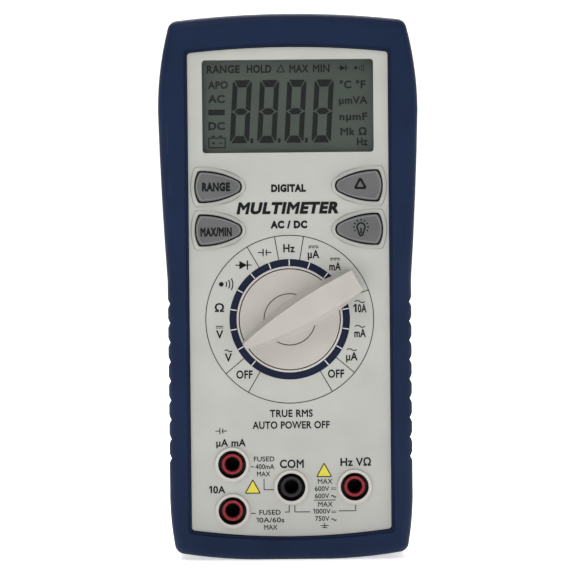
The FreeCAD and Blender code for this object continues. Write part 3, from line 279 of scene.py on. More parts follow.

looks = {
    "boot": makeBootElastomer(),
    "front": makeCaseFront(),
    "overlay": makeMouldedPlastic("overlayFilm", "#AEAFA9", "#B5B6B0", 0.42, 0.6, 0.01),
    "knob": makeMouldedPlastic("knobAbs", "#B0ABA5", "#B8B3AD", 0.36),
    "key": makeDeepPlastic(keyFace + keyShadeFrom, "keyAbs", "#555655", "#616261", 0.34, 0.4),
    "case": makeMouldedPlastic("rearAbs", "#23262B", "#2B2F35", 0.5, 0.6, 0.03),
    "white": makeMouldedPlastic("whiteAbs", "#D4D3CE", "#DCDBD6", 0.4),
    "red": makeDeepPlastic(jackMouth + jackShadeFrom, "redNylon", "#7A161E", "#871C25", 0.4, 0.4),
    # painted highlight: the brighter red ring on the red jacks' mouths
    "paintedHighlightRed": makeInk("paintedHighlightRed", "#9C2A32", 0.4),
    # painted shade: the black ring inside each jack's mouth
    "jackShade": makeInk("jackShade", "#0A0A0B", 0.7),
    "black": makeMouldedPlastic("blackNylon", "#08080A", "#0D0D0F", 0.5, 0.4),
    "board": makeMouldedPlastic("boardLaminate", "#0D4A26", "#12582E", 0.35),
    "silicone": makeMouldedPlastic("siliconeRubber", "#A9AAA5", "#B4B5B0", 0.6),
    "ceramic": makeMouldedPlastic("fuseCeramic", "#CAC6B8", "#D2CEC1", 0.4),
    "blue": makeMouldedPlastic("varistorEpoxy", "#1C4590", "#24509E", 0.4),
    "lens": makeWindowGlass(),
    "lcd": makeLcdGlass(),
    "steel": makeMetal("zincSteel", "#B8B8B6", 0.3),
    "brass": makeMetal("platedBrass", "#CDA862", 0.28),
    # painted shade: the jack contacts are made dark, for the bore they sit deep in
    "nickel": makeMetal("shadedNickel", "#3A3936", 0.45),
    "jacket": makeMetal("batteryJacket", "#3A3D42", 0.38),
    "ink": makeInk("darkInk", "#121315"),
    "navyInk": makeInk("navyInk", "#0F1830", 0.6),
    "whiteInk": makeInk("whiteInk", "#D2D4D0"),
    "yellowInk": makeInk("yellowInk", "#D8CC4A"),
    "lineInk": makeInk("greyInk", "#8D8F8B"),
    # painted highlight: a lighter band along each key's rounded edge
    "keyEdgeHighlight": makeInk("keyEdgeHighlight", "#808284", 0.4),
    "segment": makeInk("lcdSegment", "#131618", 0.5),
}

redJacks = [name for name in jackNames if name != "common"]
nodeLooks = {
    "boot": ["protective_boot"],
    "front": ["front_case"],
    "overlay": ["panel_overlay"],
    "knob": ["selector_knob"],
    "key": [name + "_button" for name in keyNames],
    "case": ["rear_case", "battery_cover", "tilt_stand"],
    "white": ["lcd_frame", "backlight_panel", "backlight_leds", "switch_rotor"],
    "red": [name + "_jack_sleeve" for name in redJacks] + ["battery_lead_red"],
    "black": ["common_jack_sleeve", "battery_snap", "buzzer", "processor_chip", "capacitor",
              "battery_lead_black"],
    "board": ["main_board"],
    "silicone": ["keypad_sheet", "zebra_strip"],
    "ceramic": ["milliamp_fuse", "ten_amp_fuse"],
    "blue": ["varistor"],
    "lens": ["display_window"],
    "lcd": ["lcd_glass"],
    "nickel": [name + "_jack_contact" for name in jackNames],
    "brass": ["switch_tracks", "wiper_clips"],
    "jacket": ["battery"],
}


def dressNodes():
    # screws, springs, clips and whatever else isn't listed above are bright steel
    dressed = {name: look for look, names in nodeLooks.items() for name in names}
    for name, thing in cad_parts.items():
        material = looks[dressed.get(name, "steel")]
        for slot in thing.material_slots:
            slot.material = material


dressNodes()
print("CAD nodes dressed")


# printed marks: flat shapes drawn in millimetres on X and Z, facing the front

def newPrint():
    return bmesh.new()


def addShape(ink, corners):
    # corners run anticlockwise seen from the front
    ink.faces.new([ink.verts.new((x, 0, z)) for x, z in corners])


def addLine(ink, start, end, width):
    along = Vector((end[0] - start[0], end[1] - start[1])).normalized() * width / 2
    side = Vector((-along.y, along.x))
    ends = (start, end, end, start)
    signs = (-1, -1, 1, 1)
    addShape(ink, [(x + side.x * k, z + side.y * k) for (x, z), k in zip(ends, signs)])


def addPath(ink, points, width):
    for start, end in zip(points, points[1:]):
        addLine(ink, start, end, width)


def addRing(ink, centre, outer, inner, steps=96, start=0, end=360):
    # angles run clockwise from the top, in degrees
    def spot(radius, step):
        turn = radians(start + (end - start) * step / steps)
        return centre[0] + radius * sin(turn), centre[1] + radius * cos(turn)
    for step in range(steps):
        addShape(ink, [spot(inner, step), spot(inner, step + 1),
                       spot(outer, step + 1), spot(outer, step)])


def addDisc(ink, centre, radius, steps=24):
    turns = [radians(360 * k / steps) for k in range(steps)]
    addShape(ink, [(centre[0] - radius * sin(a), centre[1] + radius * cos(a)) for a in turns])


lettering = {
    "capital": 0.73,     # height of a capital as a share of the font size
    "spacing": 1.5,      # extra letter space for each share of extra stroke
    "merge": 0.012,
    "mitre": 0.5,        # limits how far a sharp corner reaches
    "oneWide": 0.42,     # the figure one, as shares of its height
    "oneStroke": 0.13,
    "oneFlag": 0.22,
    "oneRoom": 0.56,
}


def thicken(letters, amount):
    # moves each outline outwards, with mitred corners
    moves = []
    for vertex in letters.verts:
        outward = []
        for edge in vertex.link_edges:
            if edge.is_boundary:
                start, end = (corner.co for corner in edge.verts)
                across = Vector((end.y - start.y, start.x - end.x, 0)).normalized()
                inside = edge.link_faces[0].calc_center_median() - start
                outward.append(-across if across.dot(inside) > 0 else across)
        if len(outward) == 2:
            reach = amount / max(lettering["mitre"], 1 + outward[0].dot(outward[1]))
            moves.append((vertex, (outward[0] + outward[1]) * reach))
    for vertex, move in moves:
        vertex.co += move


def addOne(ink, left, z, height, bold):
    # the built-in font's figure one has no flag, so it is drawn here
    stroke = height * (lettering["oneStroke"] + 2 * bold)
    right, top, low = left + height * lettering["oneWide"], z + height / 2, z - height / 2
    droop = top - height * lettering["oneFlag"]
    addShape(ink, [(right - stroke, low), (right, low), (right, top), (right - stroke, top)])
    addShape(ink, [(right - stroke, top - stroke), (right - stroke, top),
                   (left, droop), (left, droop - stroke)])


def addText(ink, words, x, z, height, width, bold=0.02, slant=0.0):
    # capitals come out at the given height and the whole line at the given width
    if words[0] == "1":
        addOne(ink, x - width / 2, z, height, bold)
        words = words[1:]
        width -= height * lettering["oneRoom"]
        x += height * lettering["oneRoom"] / 2
    curve = bpy.data.curves.new("words", "FONT")
    curve.body = words
    curve.size = height / lettering["capital"]
    curve.resolution_u = 4
    curve.space_character = 1 + bold * lettering["spacing"]
    holder = bpy.data.objects.new("words", curve)
    mesh = bpy.data.meshes.new_from_object(holder)
    letters = bmesh.new()
    letters.from_mesh(mesh)
    bmesh.ops.remove_doubles(letters, verts=letters.verts, dist=height * lettering["merge"])
    thicken(letters, height * bold)
    left = min(v.co.x for v in letters.verts)
    right = max(v.co.x for v in letters.verts)
    stretch = width / (right - left)
    for vertex in letters.verts:
        across, up = vertex.co.x - (left + right) / 2, vertex.co.y - height / 2
        vertex.co = (x + across * stretch + up * slant, 0, z + up)
    letters.to_mesh(mesh)
    letters.free()
    ink.from_mesh(mesh)
    bpy.data.objects.remove(holder)
    bpy.data.meshes.remove(mesh)


filmThick = 0.03
filmLift = 0.01   # how far print stands off its surface, so the two never share a plane


def finishPiece(name, shape, look, body, face, thick=filmThick):
    # lays the print on the plane Y = face and gives it a film's thickness, towards the front
    mesh = bpy.data.meshes.new(name)
    bmesh.ops.recalc_face_normals(shape, faces=shape.faces)
    for flat in shape.faces:
        flat.normal_update()
        if flat.normal.y > 0:
            flat.normal_flip()
    bmesh.ops.translate(shape, verts=shape.verts, vec=(0, face, 0))
    bmesh.ops.scale(shape, verts=shape.verts, vec=(mm, mm, mm))
    shape.to_mesh(mesh)
    shape.free()
    mesh.materials.append(looks[look])
    piece = bpy.data.objects.new(name, mesh)
    bpy.context.collection.objects.link(piece)
    film = piece.modifiers.new("film", "SOLIDIFY")
    film.thickness = thick * mm
    film.offset = 1
    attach(piece, body)


# symbols: each one's parts are shares of the size it is drawn at

def scaled(shares, size):
    return {part: share * size for part, share in shares.items()}


diodeShape = {"back": 0.3, "tip": 0.28, "half": 0.32, "bar": 0.3, "barHalf": 0.35,
              "barWide": 0.1, "leadIn": 0.6, "leadOut": 0.62, "leadWide": 0.08}


def addDiode(ink, x, z, size):
    d = scaled(diodeShape, size)
    addShape(ink, [(x - d["back"], z - d["half"]), (x + d["tip"], z),
                   (x - d["back"], z + d["half"])])
    addLine(ink, (x + d["bar"], z - d["barHalf"]), (x + d["bar"], z + d["barHalf"]), d["barWide"])
    addLine(ink, (x - d["leadIn"], z), (x + d["leadOut"], z), d["leadWide"])


beepShape = {"left": 0.45, "dot": 0.17, "arcOuter": 0.42, "arcInner": 0.34, "arcPitch": 0.22}


def addBeep(ink, x, z, size):
    b = scaled(beepShape, size)
    centre = (x - b["left"], z)
    addDisc(ink, centre, b["dot"])
    for k in range(3):
        out = k * b["arcPitch"]
        addRing(ink, centre, b["arcOuter"] + out, b["arcInner"] + out, 8, 60, 120)


capacitorShape = {"lead": 0.6, "plate": 0.14, "plateHalf": 0.33, "plateWide": 0.1,
                  "gapRight": 0.12, "leadWide": 0.09, "bend": 0.52, "bendOuter": 0.45,
                  "bendInner": 0.36}


def addCapacitor(ink, x, z, size):
    c = scaled(capacitorShape, size)
    addLine(ink, (x - c["lead"], z), (x - c["plate"], z), c["leadWide"])
    addLine(ink, (x + c["gapRight"], z), (x + c["lead"], z), c["leadWide"])
    addLine(ink, (x - c["plate"], z - c["plateHalf"]), (x - c["plate"], z + c["plateHalf"]),
            c["plateWide"])
    addRing(ink, (x + c["bend"], z), c["bendOuter"], c["bendInner"], 8, 230, 310)


bulbShape = {"lift": 0.1, "ring": 0.36, "ringInner": 0.24, "neck": 0.22, "neckTop": 0.16,
             "base": 0.1, "baseLow": 0.54, "neckWide": 0.13, "stemLow": 0.4, "stemTop": 0.05,
             "stemWide": 0.12, "rayFrom": 0.46, "rayTo": 0.6, "rayWide": 0.1}


def addBulb(ink, x, z, size):
    b = scaled(bulbShape, size)
    centre = z + b["lift"]
    addRing(ink, (x, centre), b["ring"], b["ringInner"], 24, -140, 140)
    addPath(ink, [(x - b["neck"], z - b["neckTop"]), (x - b["base"], z - b["baseLow"]),
                  (x + b["base"], z - b["baseLow"]), (x + b["neck"], z - b["neckTop"])],
            b["neckWide"])
    addLine(ink, (x, z - b["stemLow"]), (x, z + b["stemTop"]), b["stemWide"])
    for turn in range(-120, 121, 30):
        east, north = sin(radians(turn)), cos(radians(turn))
        addLine(ink, (x + east * b["rayFrom"], centre + north * b["rayFrom"]),
                (x + east * b["rayTo"], centre + north * b["rayTo"]), b["rayWide"])


triangleShape = {"half": 0.5, "foot": 0.55}


def addTriangle(ink, x, z, size, width):
    t = scaled(triangleShape, size)
    points = [(x, z + t["half"]), (x - t["foot"], z - t["half"]), (x + t["foot"], z - t["half"])]
    addPath(ink, points + [points[0]], width)


# the marks over a unit: a line with three dashes under it for direct, a wave for alternating
unitMark = {"lineUp": 0.38, "dashDown": 0.12, "tilt": 0.02, "dashPitch": 0.36, "dashHalf": 0.13,
            "stroke": 0.24, "waveHigh": 0.3, "waveStroke": 0.3, "waveSteps": 10}


def addDirect(ink, x, z, width):
    u = unitMark
    line, dash = z + u["lineUp"], z - u["dashDown"]
    addLine(ink, (x - width / 2, line), (x + width / 2, line + u["tilt"]), u["stroke"])
    for k in (-1, 0, 1):
        centre, half = x + k * width * u["dashPitch"], width * u["dashHalf"]
        addLine(ink, (centre - half, dash), (centre + half, dash + u["tilt"]), u["stroke"])


def addWave(ink, x, z, width):
    steps = unitMark["waveSteps"]
    points = [(x + (k / steps - 0.5) * width,
               z + unitMark["waveHigh"] * sin(radians(360 * k / steps))) for k in range(steps + 1)]
    addPath(ink, points, unitMark["waveStroke"])


# the dial's printed scale

dial = {
    "ringOuter": 18.1,
    "ringInner": 15.98,
    "labelCircle": 25.2,
    "labelRadius": 21.4,
    "line": 0.24,
    "textHeight": 2.45,
    "bold": 0.04,
    "unitDrop": 0.55,      # a unit sits this far below its place, under its mark
    "markUp": 1.4,
    "markWide": 3.0,
    "step": 20,
    "first": -140,
    "count": 15,
    "dividers": (-150, -130, -30, -10, 10, 70, 130, 150),
    "labels": ("OFF", "V~", "V=", "Ω", "beep", "diode", "capacitor", "Hz", "µA=", "mA=",
               "10A=", "10A~", "mA~", "µA~", "OFF"),
    "wide": {"OFF": 4.9, "Ω": 2.8, "Hz": 3.5, "V": 2.2, "µA": 3.5, "mA": 3.5, "10A": 4.0},
    "symbols": {"beep": (addBeep, 4.2), "diode": (addDiode, 4.0), "capacitor": (addCapacitor, 3.4)},
    "tickRadius": 17.05,
    "tickLong": 1.9,
    "tickWide": 0.28,
    "tickLift": 0.06,
}


def dialSpot(turn, radius):
    return radius * sin(radians(turn)), dialHeight + radius * cos(radians(turn))


def drawDialLabel(ink, label, turn):
    x, z = dialSpot(turn, dial["labelRadius"])
    if label in dial["symbols"]:
        addSymbol, size = dial["symbols"][label]
        addSymbol(ink, x, z, size)
    elif label[-1] in "~=":
        words = label[:-1]
        width = dial["wide"][words]
        addText(ink, words, x, z - dial["unitDrop"], dial["textHeight"], width, dial["bold"])
        addMark = addWave if label[-1] == "~" else addDirect
        addMark(ink, x, z + dial["markUp"], min(width, dial["markWide"]))
    else:
        addText(ink, label, x, z, dial["textHeight"], dial["wide"][label], dial["bold"])


def drawDial(ink):
    half = dial["line"] / 2
    addRing(ink, (0, dialHeight), dial["labelCircle"] + half, dial["labelCircle"] - half, 128)
    for turn in dial["dividers"]:
        addLine(ink, dialSpot(turn, dial["ringOuter"]), dialSpot(turn, dial["labelCircle"]),
                dial["line"])
    for index, label in enumerate(dial["labels"]):
        drawDialLabel(ink, label, dial["first"] + index * dial["step"])


# legends on the panel: words, x, z, height of capitals, width of the line,
# and the share of the height that is added to the strokes

panelWords = [
    ("DIGITAL", 0, 111.8, 2.1, 10.4, 0.09),
    ("AC / DC", 0, 100.9, 2.1, 11.0, 0.09),
    ("TRUE RMS", 0.2, 44.2, 2.2, 12.9, 0.04),
    ("AUTO POWER OFF", 0.1, 40.7, 2.2, 23.2, 0.04),
    ("µA mA", -18.0, 35.5, 2.2, 8.9, 0.04),
    ("10A", -22.3, 21.4, 2.2, 4.9, 0.04),
    ("COM", 0.2, 29.0, 2.5, 7.2, 0.04),
    ("Hz VΩ", 19.4, 29.4, 2.4, 9.2, 0.04),
    ("FUSED", -8.1, 30.5, 1.5, 6.2, 0.02),
    ("400mA", -7.9, 28.2, 1.6, 5.7, 0.02),
    ("MAX", -8.3, 26.0, 1.5, 4.0, 0.02),
    ("FUSED", -6.5, 14.4, 1.5, 6.4, 0.02),
    ("10A/60s", -6.4, 12.1, 1.5, 8.4, 0.02),
    ("MAX", -6.3, 9.9, 1.5, 4.0, 0.02),
    ("MAX", 10.2, 23.6, 1.5, 4.4, 0.02),
    ("600V", 9.2, 21.4, 1.5, 4.3, 0.02),
    ("600V", 9.2, 19.2, 1.5, 4.3, 0.02),
    ("MAX", 10.2, 16.7, 1.5, 4.4, 0.02),
    ("1000V", 9.1, 14.6, 1.5, 5.3, 0.02),
    ("750V", 9.2, 12.4, 1.5, 4.3, 0.02),
    ("MULTIMETER", 0, 105.9, 3.3, 30.6, 0.08, 0.2),  # the last number is its slant
]
leaderLines = [
    [(-12.1, 28.1), (-11.1, 28.1)],
    [(-8.2, 24.5), (-8.2, 21.2), (-5.3, 21.2)],
    [(-12.2, 14.1), (-10.8, 14.1)],
    [(-2.0, 14.4), (-0.7, 14.4), (-0.7, 16.4)],
    [(1.0, 16.4), (1.0, 14.4), (5.6, 14.4)],
    [(14.2, 14.6), (19.3, 14.6), (19.3, 16.4)],
    [(6.7, 17.9), (13.3, 17.9)],
    [(9.9, 11.0), (9.9, 9.6)],     # the earth mark under the voltage limits
    [(8.7, 10.2), (11.1, 10.2)],
    [(9.2, 9.6), (10.6, 9.6)],
]
panelMarks = {
    "leader": 0.24,
    "capacitor": (-20.9, 39.0, 2.9),
    "directLeft": 11.9,            # the small marks after the voltage limits
    "directRight": 13.4,
    "directHeights": (21.3, 14.3),
    "directUp": 0.25,
    "directDown": 0.2,
    "directStroke": 0.16,
    "waveAt": 12.7,
    "waveHeights": (19.0, 12.0),
    "waveWide": 1.5,
    "triangles": [(9.9, 27.0), (-11.6, 22.2)],
    "triangleSize": 4.0,
    "triangleStroke": 0.3,
    "yellowHigh": 1.9,
    "yellowFoot": 2.1,
}


def drawPanel():
    p = panelMarks
    ink = newPrint()
    drawDial(ink)
    for row in panelWords:
        addText(ink, *row)
    for points in leaderLines:
        addPath(ink, points, p["leader"])
    addCapacitor(ink, *p["capacitor"])
    for z in p["directHeights"]:
        for level in (z + p["directUp"], z - p["directDown"]):
            addLine(ink, (p["directLeft"], level), (p["directRight"], level), p["directStroke"])
    for z in p["waveHeights"]:
        addWave(ink, p["waveAt"], z, p["waveWide"])
    for x, z in p["triangles"]:
        addTriangle(ink, x, z, p["triangleSize"], p["triangleStroke"])
    finishPiece("panelPrint", ink, "ink", "meter", panelFace - 2 * filmLift)
    yellow = newPrint()
    high, foot = p["yellowHigh"], p["yellowFoot"]
    for x, z in p["triangles"]:
        addShape(yellow, [(x, z + high), (x - foot, z - high), (x + foot, z - high)])
    finishPiece("cautionMarks", yellow, "yellowInk", "meter",
                panelFace - filmLift)
    band = newPrint()
    addRing(band, (0, dialHeight), dial["ringOuter"], dial["ringInner"], 128)
    finishPiece("dialBand", band, "navyInk", "meter", panelFace - filmLift)


drawPanel()
print("panel printed")


# repeated marks are laid out by one Geometry Nodes tree: bars at even turns round a centre

def makeTurnedBars():
    tree = bpy.data.node_groups.new("turnedBars", "GeometryNodeTree")
    sockets = tree.interface
    sockets.new_socket("Geometry", in_out="INPUT", socket_type="NodeSocketGeometry")
    for name, kind in (("Count", "Int"), ("First", "Float"), ("Step", "Float"),
                       ("Radius", "Float"), ("Length", "Float"), ("Width", "Float"),
                       ("Thick", "Float"), ("Centre", "Vector"), ("Look", "Material")):
        sockets.new_socket(name, in_out="INPUT", socket_type="NodeSocket" + kind)
    sockets.new_socket("Geometry", in_out="OUTPUT", socket_type="NodeSocketGeometry")
    given = addNode(tree, "NodeGroupInput").outputs
    size = addNode(tree, "ShaderNodeCombineXYZ", {
        "X": given["Width"], "Y": given["Thick"], "Z": given["Length"]})
    bar = addNode(tree, "GeometryNodeMeshCube", {"Size": size.outputs[0]})
    points = addNode(tree, "GeometryNodePoints", {"Count": given["Count"]})
    index = addNode(tree, "GeometryNodeInputIndex").outputs[0]
    turn = addNode(tree, "ShaderNodeMath", {0: index, 1: given["Step"], 2: given["First"]},
                   operation="MULTIPLY_ADD").outputs[0]
    east = addNode(tree, "ShaderNodeMath", {0: turn}, operation="SINE").outputs[0]
    north = addNode(tree, "ShaderNodeMath", {0: turn}, operation="COSINE").outputs[0]
    way = addNode(tree, "ShaderNodeCombineXYZ", {"X": east, "Z": north}).outputs[0]
    out = addNode(tree, "ShaderNodeVectorMath", {0: way, "Scale": given["Radius"]},
                  operation="SCALE").outputs[0]
    spot = addNode(tree, "ShaderNodeVectorMath", {0: out, 1: given["Centre"]}, operation="ADD")
    placed = addNode(tree, "GeometryNodeSetPosition", {
        "Geometry": points.outputs[0], "Position": spot.outputs[0]})
    spin = addNode(tree, "ShaderNodeCombineXYZ", {"Y": turn}).outputs[0]
    bars = addNode(tree, "GeometryNodeInstanceOnPoints", {
        "Points": placed.outputs[0], "Instance": bar.outputs[0], "Rotation": spin})
    real = addNode(tree, "GeometryNodeRealizeInstances", {"Geometry": bars.outputs[0]})
    dressed = addNode(tree, "GeometryNodeSetMaterial", {
        "Geometry": real.outputs[0], "Material": given["Look"]})
    addNode(tree, "NodeGroupOutput", {"Geometry": dressed.outputs[0]})
    return tree


def growPiece(name, tree, body, slot, look, **values):
    # runs a tree with its inputs set, and keeps the result as a plain mesh
    holder = bpy.data.objects.new(name + "Holder", bpy.data.meshes.new(name + "Holder"))
    bpy.context.collection.objects.link(holder)
    modifier = holder.modifiers.new("grow", "NODES")
    modifier.node_group = tree
    values["Look"] = looks[look]
    for item in tree.interface.items_tree:
        if item.in_out == "INPUT" and item.name in values:
            modifier[item.identifier] = values[item.name]
    graph = bpy.context.evaluated_depsgraph_get()
    mesh = bpy.data.meshes.new_from_object(holder.evaluated_get(graph))
    bpy.data.objects.remove(holder)
    piece = bpy.data.objects.new(name, mesh)
    bpy.context.collection.objects.link(piece)
    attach(piece, body)


growPiece("dialTicks", makeTurnedBars(), "meter", "overlay_plastic", "whiteInk",
          Count=dial["count"], First=radians(dial["first"]), Step=radians(dial["step"]),
          Radius=dial["tickRadius"] * mm, Length=dial["tickLong"] * mm,
          Width=dial["tickWide"] * mm, Thick=filmThick * mm,
          Centre=(0, (panelFace - dial["tickLift"]) * mm, dialHeight * mm))
print("dial ticks laid out")


# liquid crystal segments

digit = {
    "count": 4,
    "left": -17.55,
    "low": 125.4,
    "tall": 18.9,
    "wide": 5.8,
    "pitch": 8.2,
    "slant": 0.061,
    "upright": 1.65,    # width of an upright segment
    "level": 2.15,      # height of a level segment
    "gap": 0.12,
    "corner": 0.55,     # how far the level segments' long edges stop short of the side
    "endCut": 0.7,      # the uprights' corners at the top and bottom of the digit
    "endIn": 0.35,
    "endRise": 0.6,
    "midCut": 0.15,     # and at its middle
    "midIn": 0.3,
    "midInner": 0.85,
    "barEnd": 0.9,      # the middle segment
    "barHalf": 0.95,
    "barShare": 0.35,
    "pointAt": 6.2,     # the decimal point after a digit
    "pointWide": 0.9,
    "pointTall": 1.4,
    "pointLean": 0.08,
}
# words, x, z, height and width
lcdWords = [
    ("RANGE", -19.25, 147.7, 2.3, 9.9),
    ("HOLD", -8.5, 147.7, 2.3, 7.4),
    ("MAX", 3.5, 147.7, 2.3, 5.8),
    ("MIN", 10.2, 147.7, 2.3, 5.0),
    ("APO", -20.9, 143.0, 2.2, 6.0),
    ("AC", -21.4, 138.8, 2.3, 5.0),
    ("DC", -21.4, 130.7, 2.3, 5.0),
    ("°C °F", 19.5, 142.8, 2.3, 7.8),
    ("µmVA", 19.7, 138.1, 2.2, 8.6),
    ("nµmF", 19.7, 133.2, 2.2, 8.4),
    ("Mk Ω", 19.7, 128.7, 2.2, 7.9),
    ("Hz", 22.3, 125.6, 2.2, 3.2),
]
# straight strokes: their points and width
lcdStrokes = [
    ([(-23.9, 134.7), (-18.9, 134.7)], 1.7),      # the minus sign
    ([(-23.8, 124.1), (-18.9, 124.1), (-18.9, 127.0), (-23.8, 127.0), (-23.8, 124.1)], 0.35),
    ([(-23.0, 127.5), (-21.9, 127.5)], 0.4),      # the battery sign's terminals and poles
    ([(-20.8, 127.5), (-19.7, 127.5)], 0.4),
    ([(-20.8, 125.5), (-19.6, 125.5)], 0.3),
]
lcdMarks = {
    "bold": 0.05,
    "triangle": (-2.0, 147.7, 2.1, 0.3),
    "diode": (16.7, 147.7, 2.9),
    "beep": (21.9, 147.7, 3.0),
    "pole": (-22.4, 125.5),
    "poleRadius": 0.4,
    "lift": 0.02,
    "thick": 0.02,
}


def drawDigit(ink, left):
    d = digit
    tall, wide, up, flat = d["tall"], d["wide"], d["upright"], d["level"]
    half = tall / 2

    def lean(points):
        addShape(ink, [(left + x + z * d["slant"], d["low"] + z) for x, z in points])

    lean([(d["corner"], 0), (wide - d["corner"], 0), (wide - up, flat), (up, flat)])
    lean([(up, tall - flat), (wide - up, tall - flat), (wide - d["corner"], tall),
          (d["corner"], tall)])
    for upper in (False, True):
        side = [(0, d["endCut"]), (d["endIn"], d["endCut"] * d["endRise"]),
                (up - d["gap"], flat + d["gap"]), (up - d["gap"], half - d["midInner"]),
                (d["midIn"], half - d["midCut"]), (0, half - d["midCut"])]
        if upper:
            side = [(u, tall - v) for u, v in side][::-1]
        lean(side)
        lean([(wide - u, v) for u, v in side][::-1])
    near, far = wide * d["barShare"], wide * (1 - d["barShare"])
    low, high = half - d["barHalf"], half + d["barHalf"]
    lean([(d["barEnd"], half), (near, low), (far, low), (wide - d["barEnd"], half),
          (far, high), (near, high)])


def drawPoint(ink, left):
    low, wide, lean = digit["low"], digit["pointWide"], digit["pointLean"]
    high = low + digit["pointTall"]
    addShape(ink, [(left, low), (left + wide, low), (left + wide + lean, high),
                   (left + lean, high)])


def drawDisplay():
    ink = newPrint()
    lefts = [digit["left"] + index * digit["pitch"] for index in range(digit["count"])]
    for left in lefts:
        drawDigit(ink, left)
    for left in lefts[:-1]:
        drawPoint(ink, left + digit["pointAt"])
    for row in lcdWords:
        addText(ink, *row, lcdMarks["bold"])
    addTriangle(ink, *lcdMarks["triangle"])
    addDiode(ink, *lcdMarks["diode"])
    addBeep(ink, *lcdMarks["beep"])
    for points, width in lcdStrokes:
        addPath(ink, points, width)
    addDisc(ink, lcdMarks["pole"], lcdMarks["poleRadius"])
    finishPiece("lcdSegments", ink, "segment", "meter",
                lcdFace - lcdMarks["lift"], lcdMarks["thick"])


drawDisplay()
print("display drawn")


# the knob's groove and the jacks' mouths

groove = {"outer": 7.82, "inner": 7.58, "lift": 0.4}
mouth = {"bore": 2.06, "leadIn": 2.35, "highlightRing": 3.0, "lift": 0.02, "highlightThick": 0.08}


def drawGroove():
    # a ring of painted shade at the bottom of the groove in the knob's disc, in the dark ink
    line = newPrint()
    addRing(line, (0, dialHeight), groove["outer"], groove["inner"])
    finishPiece("knobGrooveShade", line, "ink", "knob", panelFace - groove["lift"])


def drawJacks():
    # a dark ring of painted shade inside each sleeve's mouth for its shadowed lead-in, with a
    # brighter ring of painted highlight round it on the red ones
    for name in jackNames:
        x, _, z = jackPlace[name]
        shade = newPrint()
        addRing(shade, (x, z), mouth["leadIn"], mouth["bore"], 48)
        finishPiece(name + "LeadInShade", shade, "jackShade", "meter",
                    jackMouth - mouth["lift"])
        if name in redJacks:
            highlightRing = newPrint()
            addRing(highlightRing, (x, z), mouth["highlightRing"], mouth["leadIn"], 48)
            finishPiece(name + "HighlightRing", highlightRing, "paintedHighlightRed", "meter",
                        jackMouth - mouth["lift"], mouth["highlightThick"])


drawGroove()
drawJacks()
print("knob and jacks marked")


# the keys: a fine line on the panel round each one, and a band of painted highlight along its bevel
# and a legend that ride on it

keyShape = {
    "halfLong": 7.2,
    "halfWide": 4.85,
    "heel": 0.83,       # where the flanks start, as a share of the half length
    "belly": 0.22,
    "bellyWide": 0.8,
    "nose": 0.78,
    "noseWide": 0.45,
    "bellyDraw": 0.3,   # how much of an inset each point takes
    "noseDraw": 0.7,
    "noseDrawUp": 0.6,
    "cut": 0.35,        # size of the heel's rounded corner, and what an inset takes off it
    "cutDraw": 0.1,
    "cutLeast": 0.15,
    "cutMost": 0.5,
    "cutAlong": 0.2,
    "cutUp": 0.05,
    "rimOuter": -1.18,  # insets of the lines drawn along the outline
    "rimInner": -0.98,
    "highlightOuter": 0.72,
    "highlightInner": 0.92,
}
keyLegends = {
    "range": (addText, ("RANGE", -0.6, 0.05, 2.4, 8.4, 0.09)),
    "max_min": (addText, ("MAX/MIN", -0.7, -0.4, 2.4, 9.4, 0.09)),
    "relative": (addTriangle, (0.4, 0.7, 2.9, 0.7)),
    "light": (addBulb, (0.5, 0.2, 4.0)),
}


def bow(start, middle, end, steps=10):
    # points on a smooth curve through three points, without the last one
    points = []
    for k in range(steps):
        t = k / steps
        points.append(tuple(a * (1 - t) * (1 - 2 * t) + b * 4 * t * (1 - t) + c * t * (2 * t - 1)
                            for a, b, c in zip(start, middle, end)))
    return points


def keyOutline(name, inset):
    # the key's outline drawn in by an inset, as corners with one bow between each pair
    x, _, z = keyPlace[name]
    side = 1 if x > 0 else -1
    k = keyShape
    heel = inset - k["halfLong"] * k["heel"]
    belly = k["halfLong"] * k["belly"] - k["bellyDraw"] * inset
    bellyHalf = k["halfWide"] * k["bellyWide"] - inset
    nose = k["halfLong"] * k["nose"] - k["noseDraw"] * inset
    noseHalf = k["halfWide"] * k["noseWide"] - k["noseDrawUp"] * inset
    tip, flank = k["halfLong"] - inset, k["halfWide"] - inset
    cut = min(k["cutMost"], max(k["cutLeast"], k["cut"] - inset * k["cutDraw"]))
    inner, outer = heel + cut, heel - cut * k["cutAlong"]
    edge = flank - cut * k["cutUp"]
    points = (bow((inner, -edge), (belly, -bellyHalf), (nose, -noseHalf))
              + bow((nose, -noseHalf), (tip, 0), (nose, noseHalf), 8)
              + bow((nose, noseHalf), (belly, bellyHalf), (inner, edge)) + [(inner, edge)]
              + bow((outer, flank - cut), (-tip, 0), (outer, cut - flank), 8)
              + [(outer, cut - flank)])
    return [(x - side * u, z + v) for u, v in points]


def addBand(ink, outer, inner):
    # the strip between two outlines with the same number of points
    count = len(outer)
    for k in range(count):
        addShape(ink, [inner[k], inner[(k + 1) % count], outer[(k + 1) % count], outer[k]])


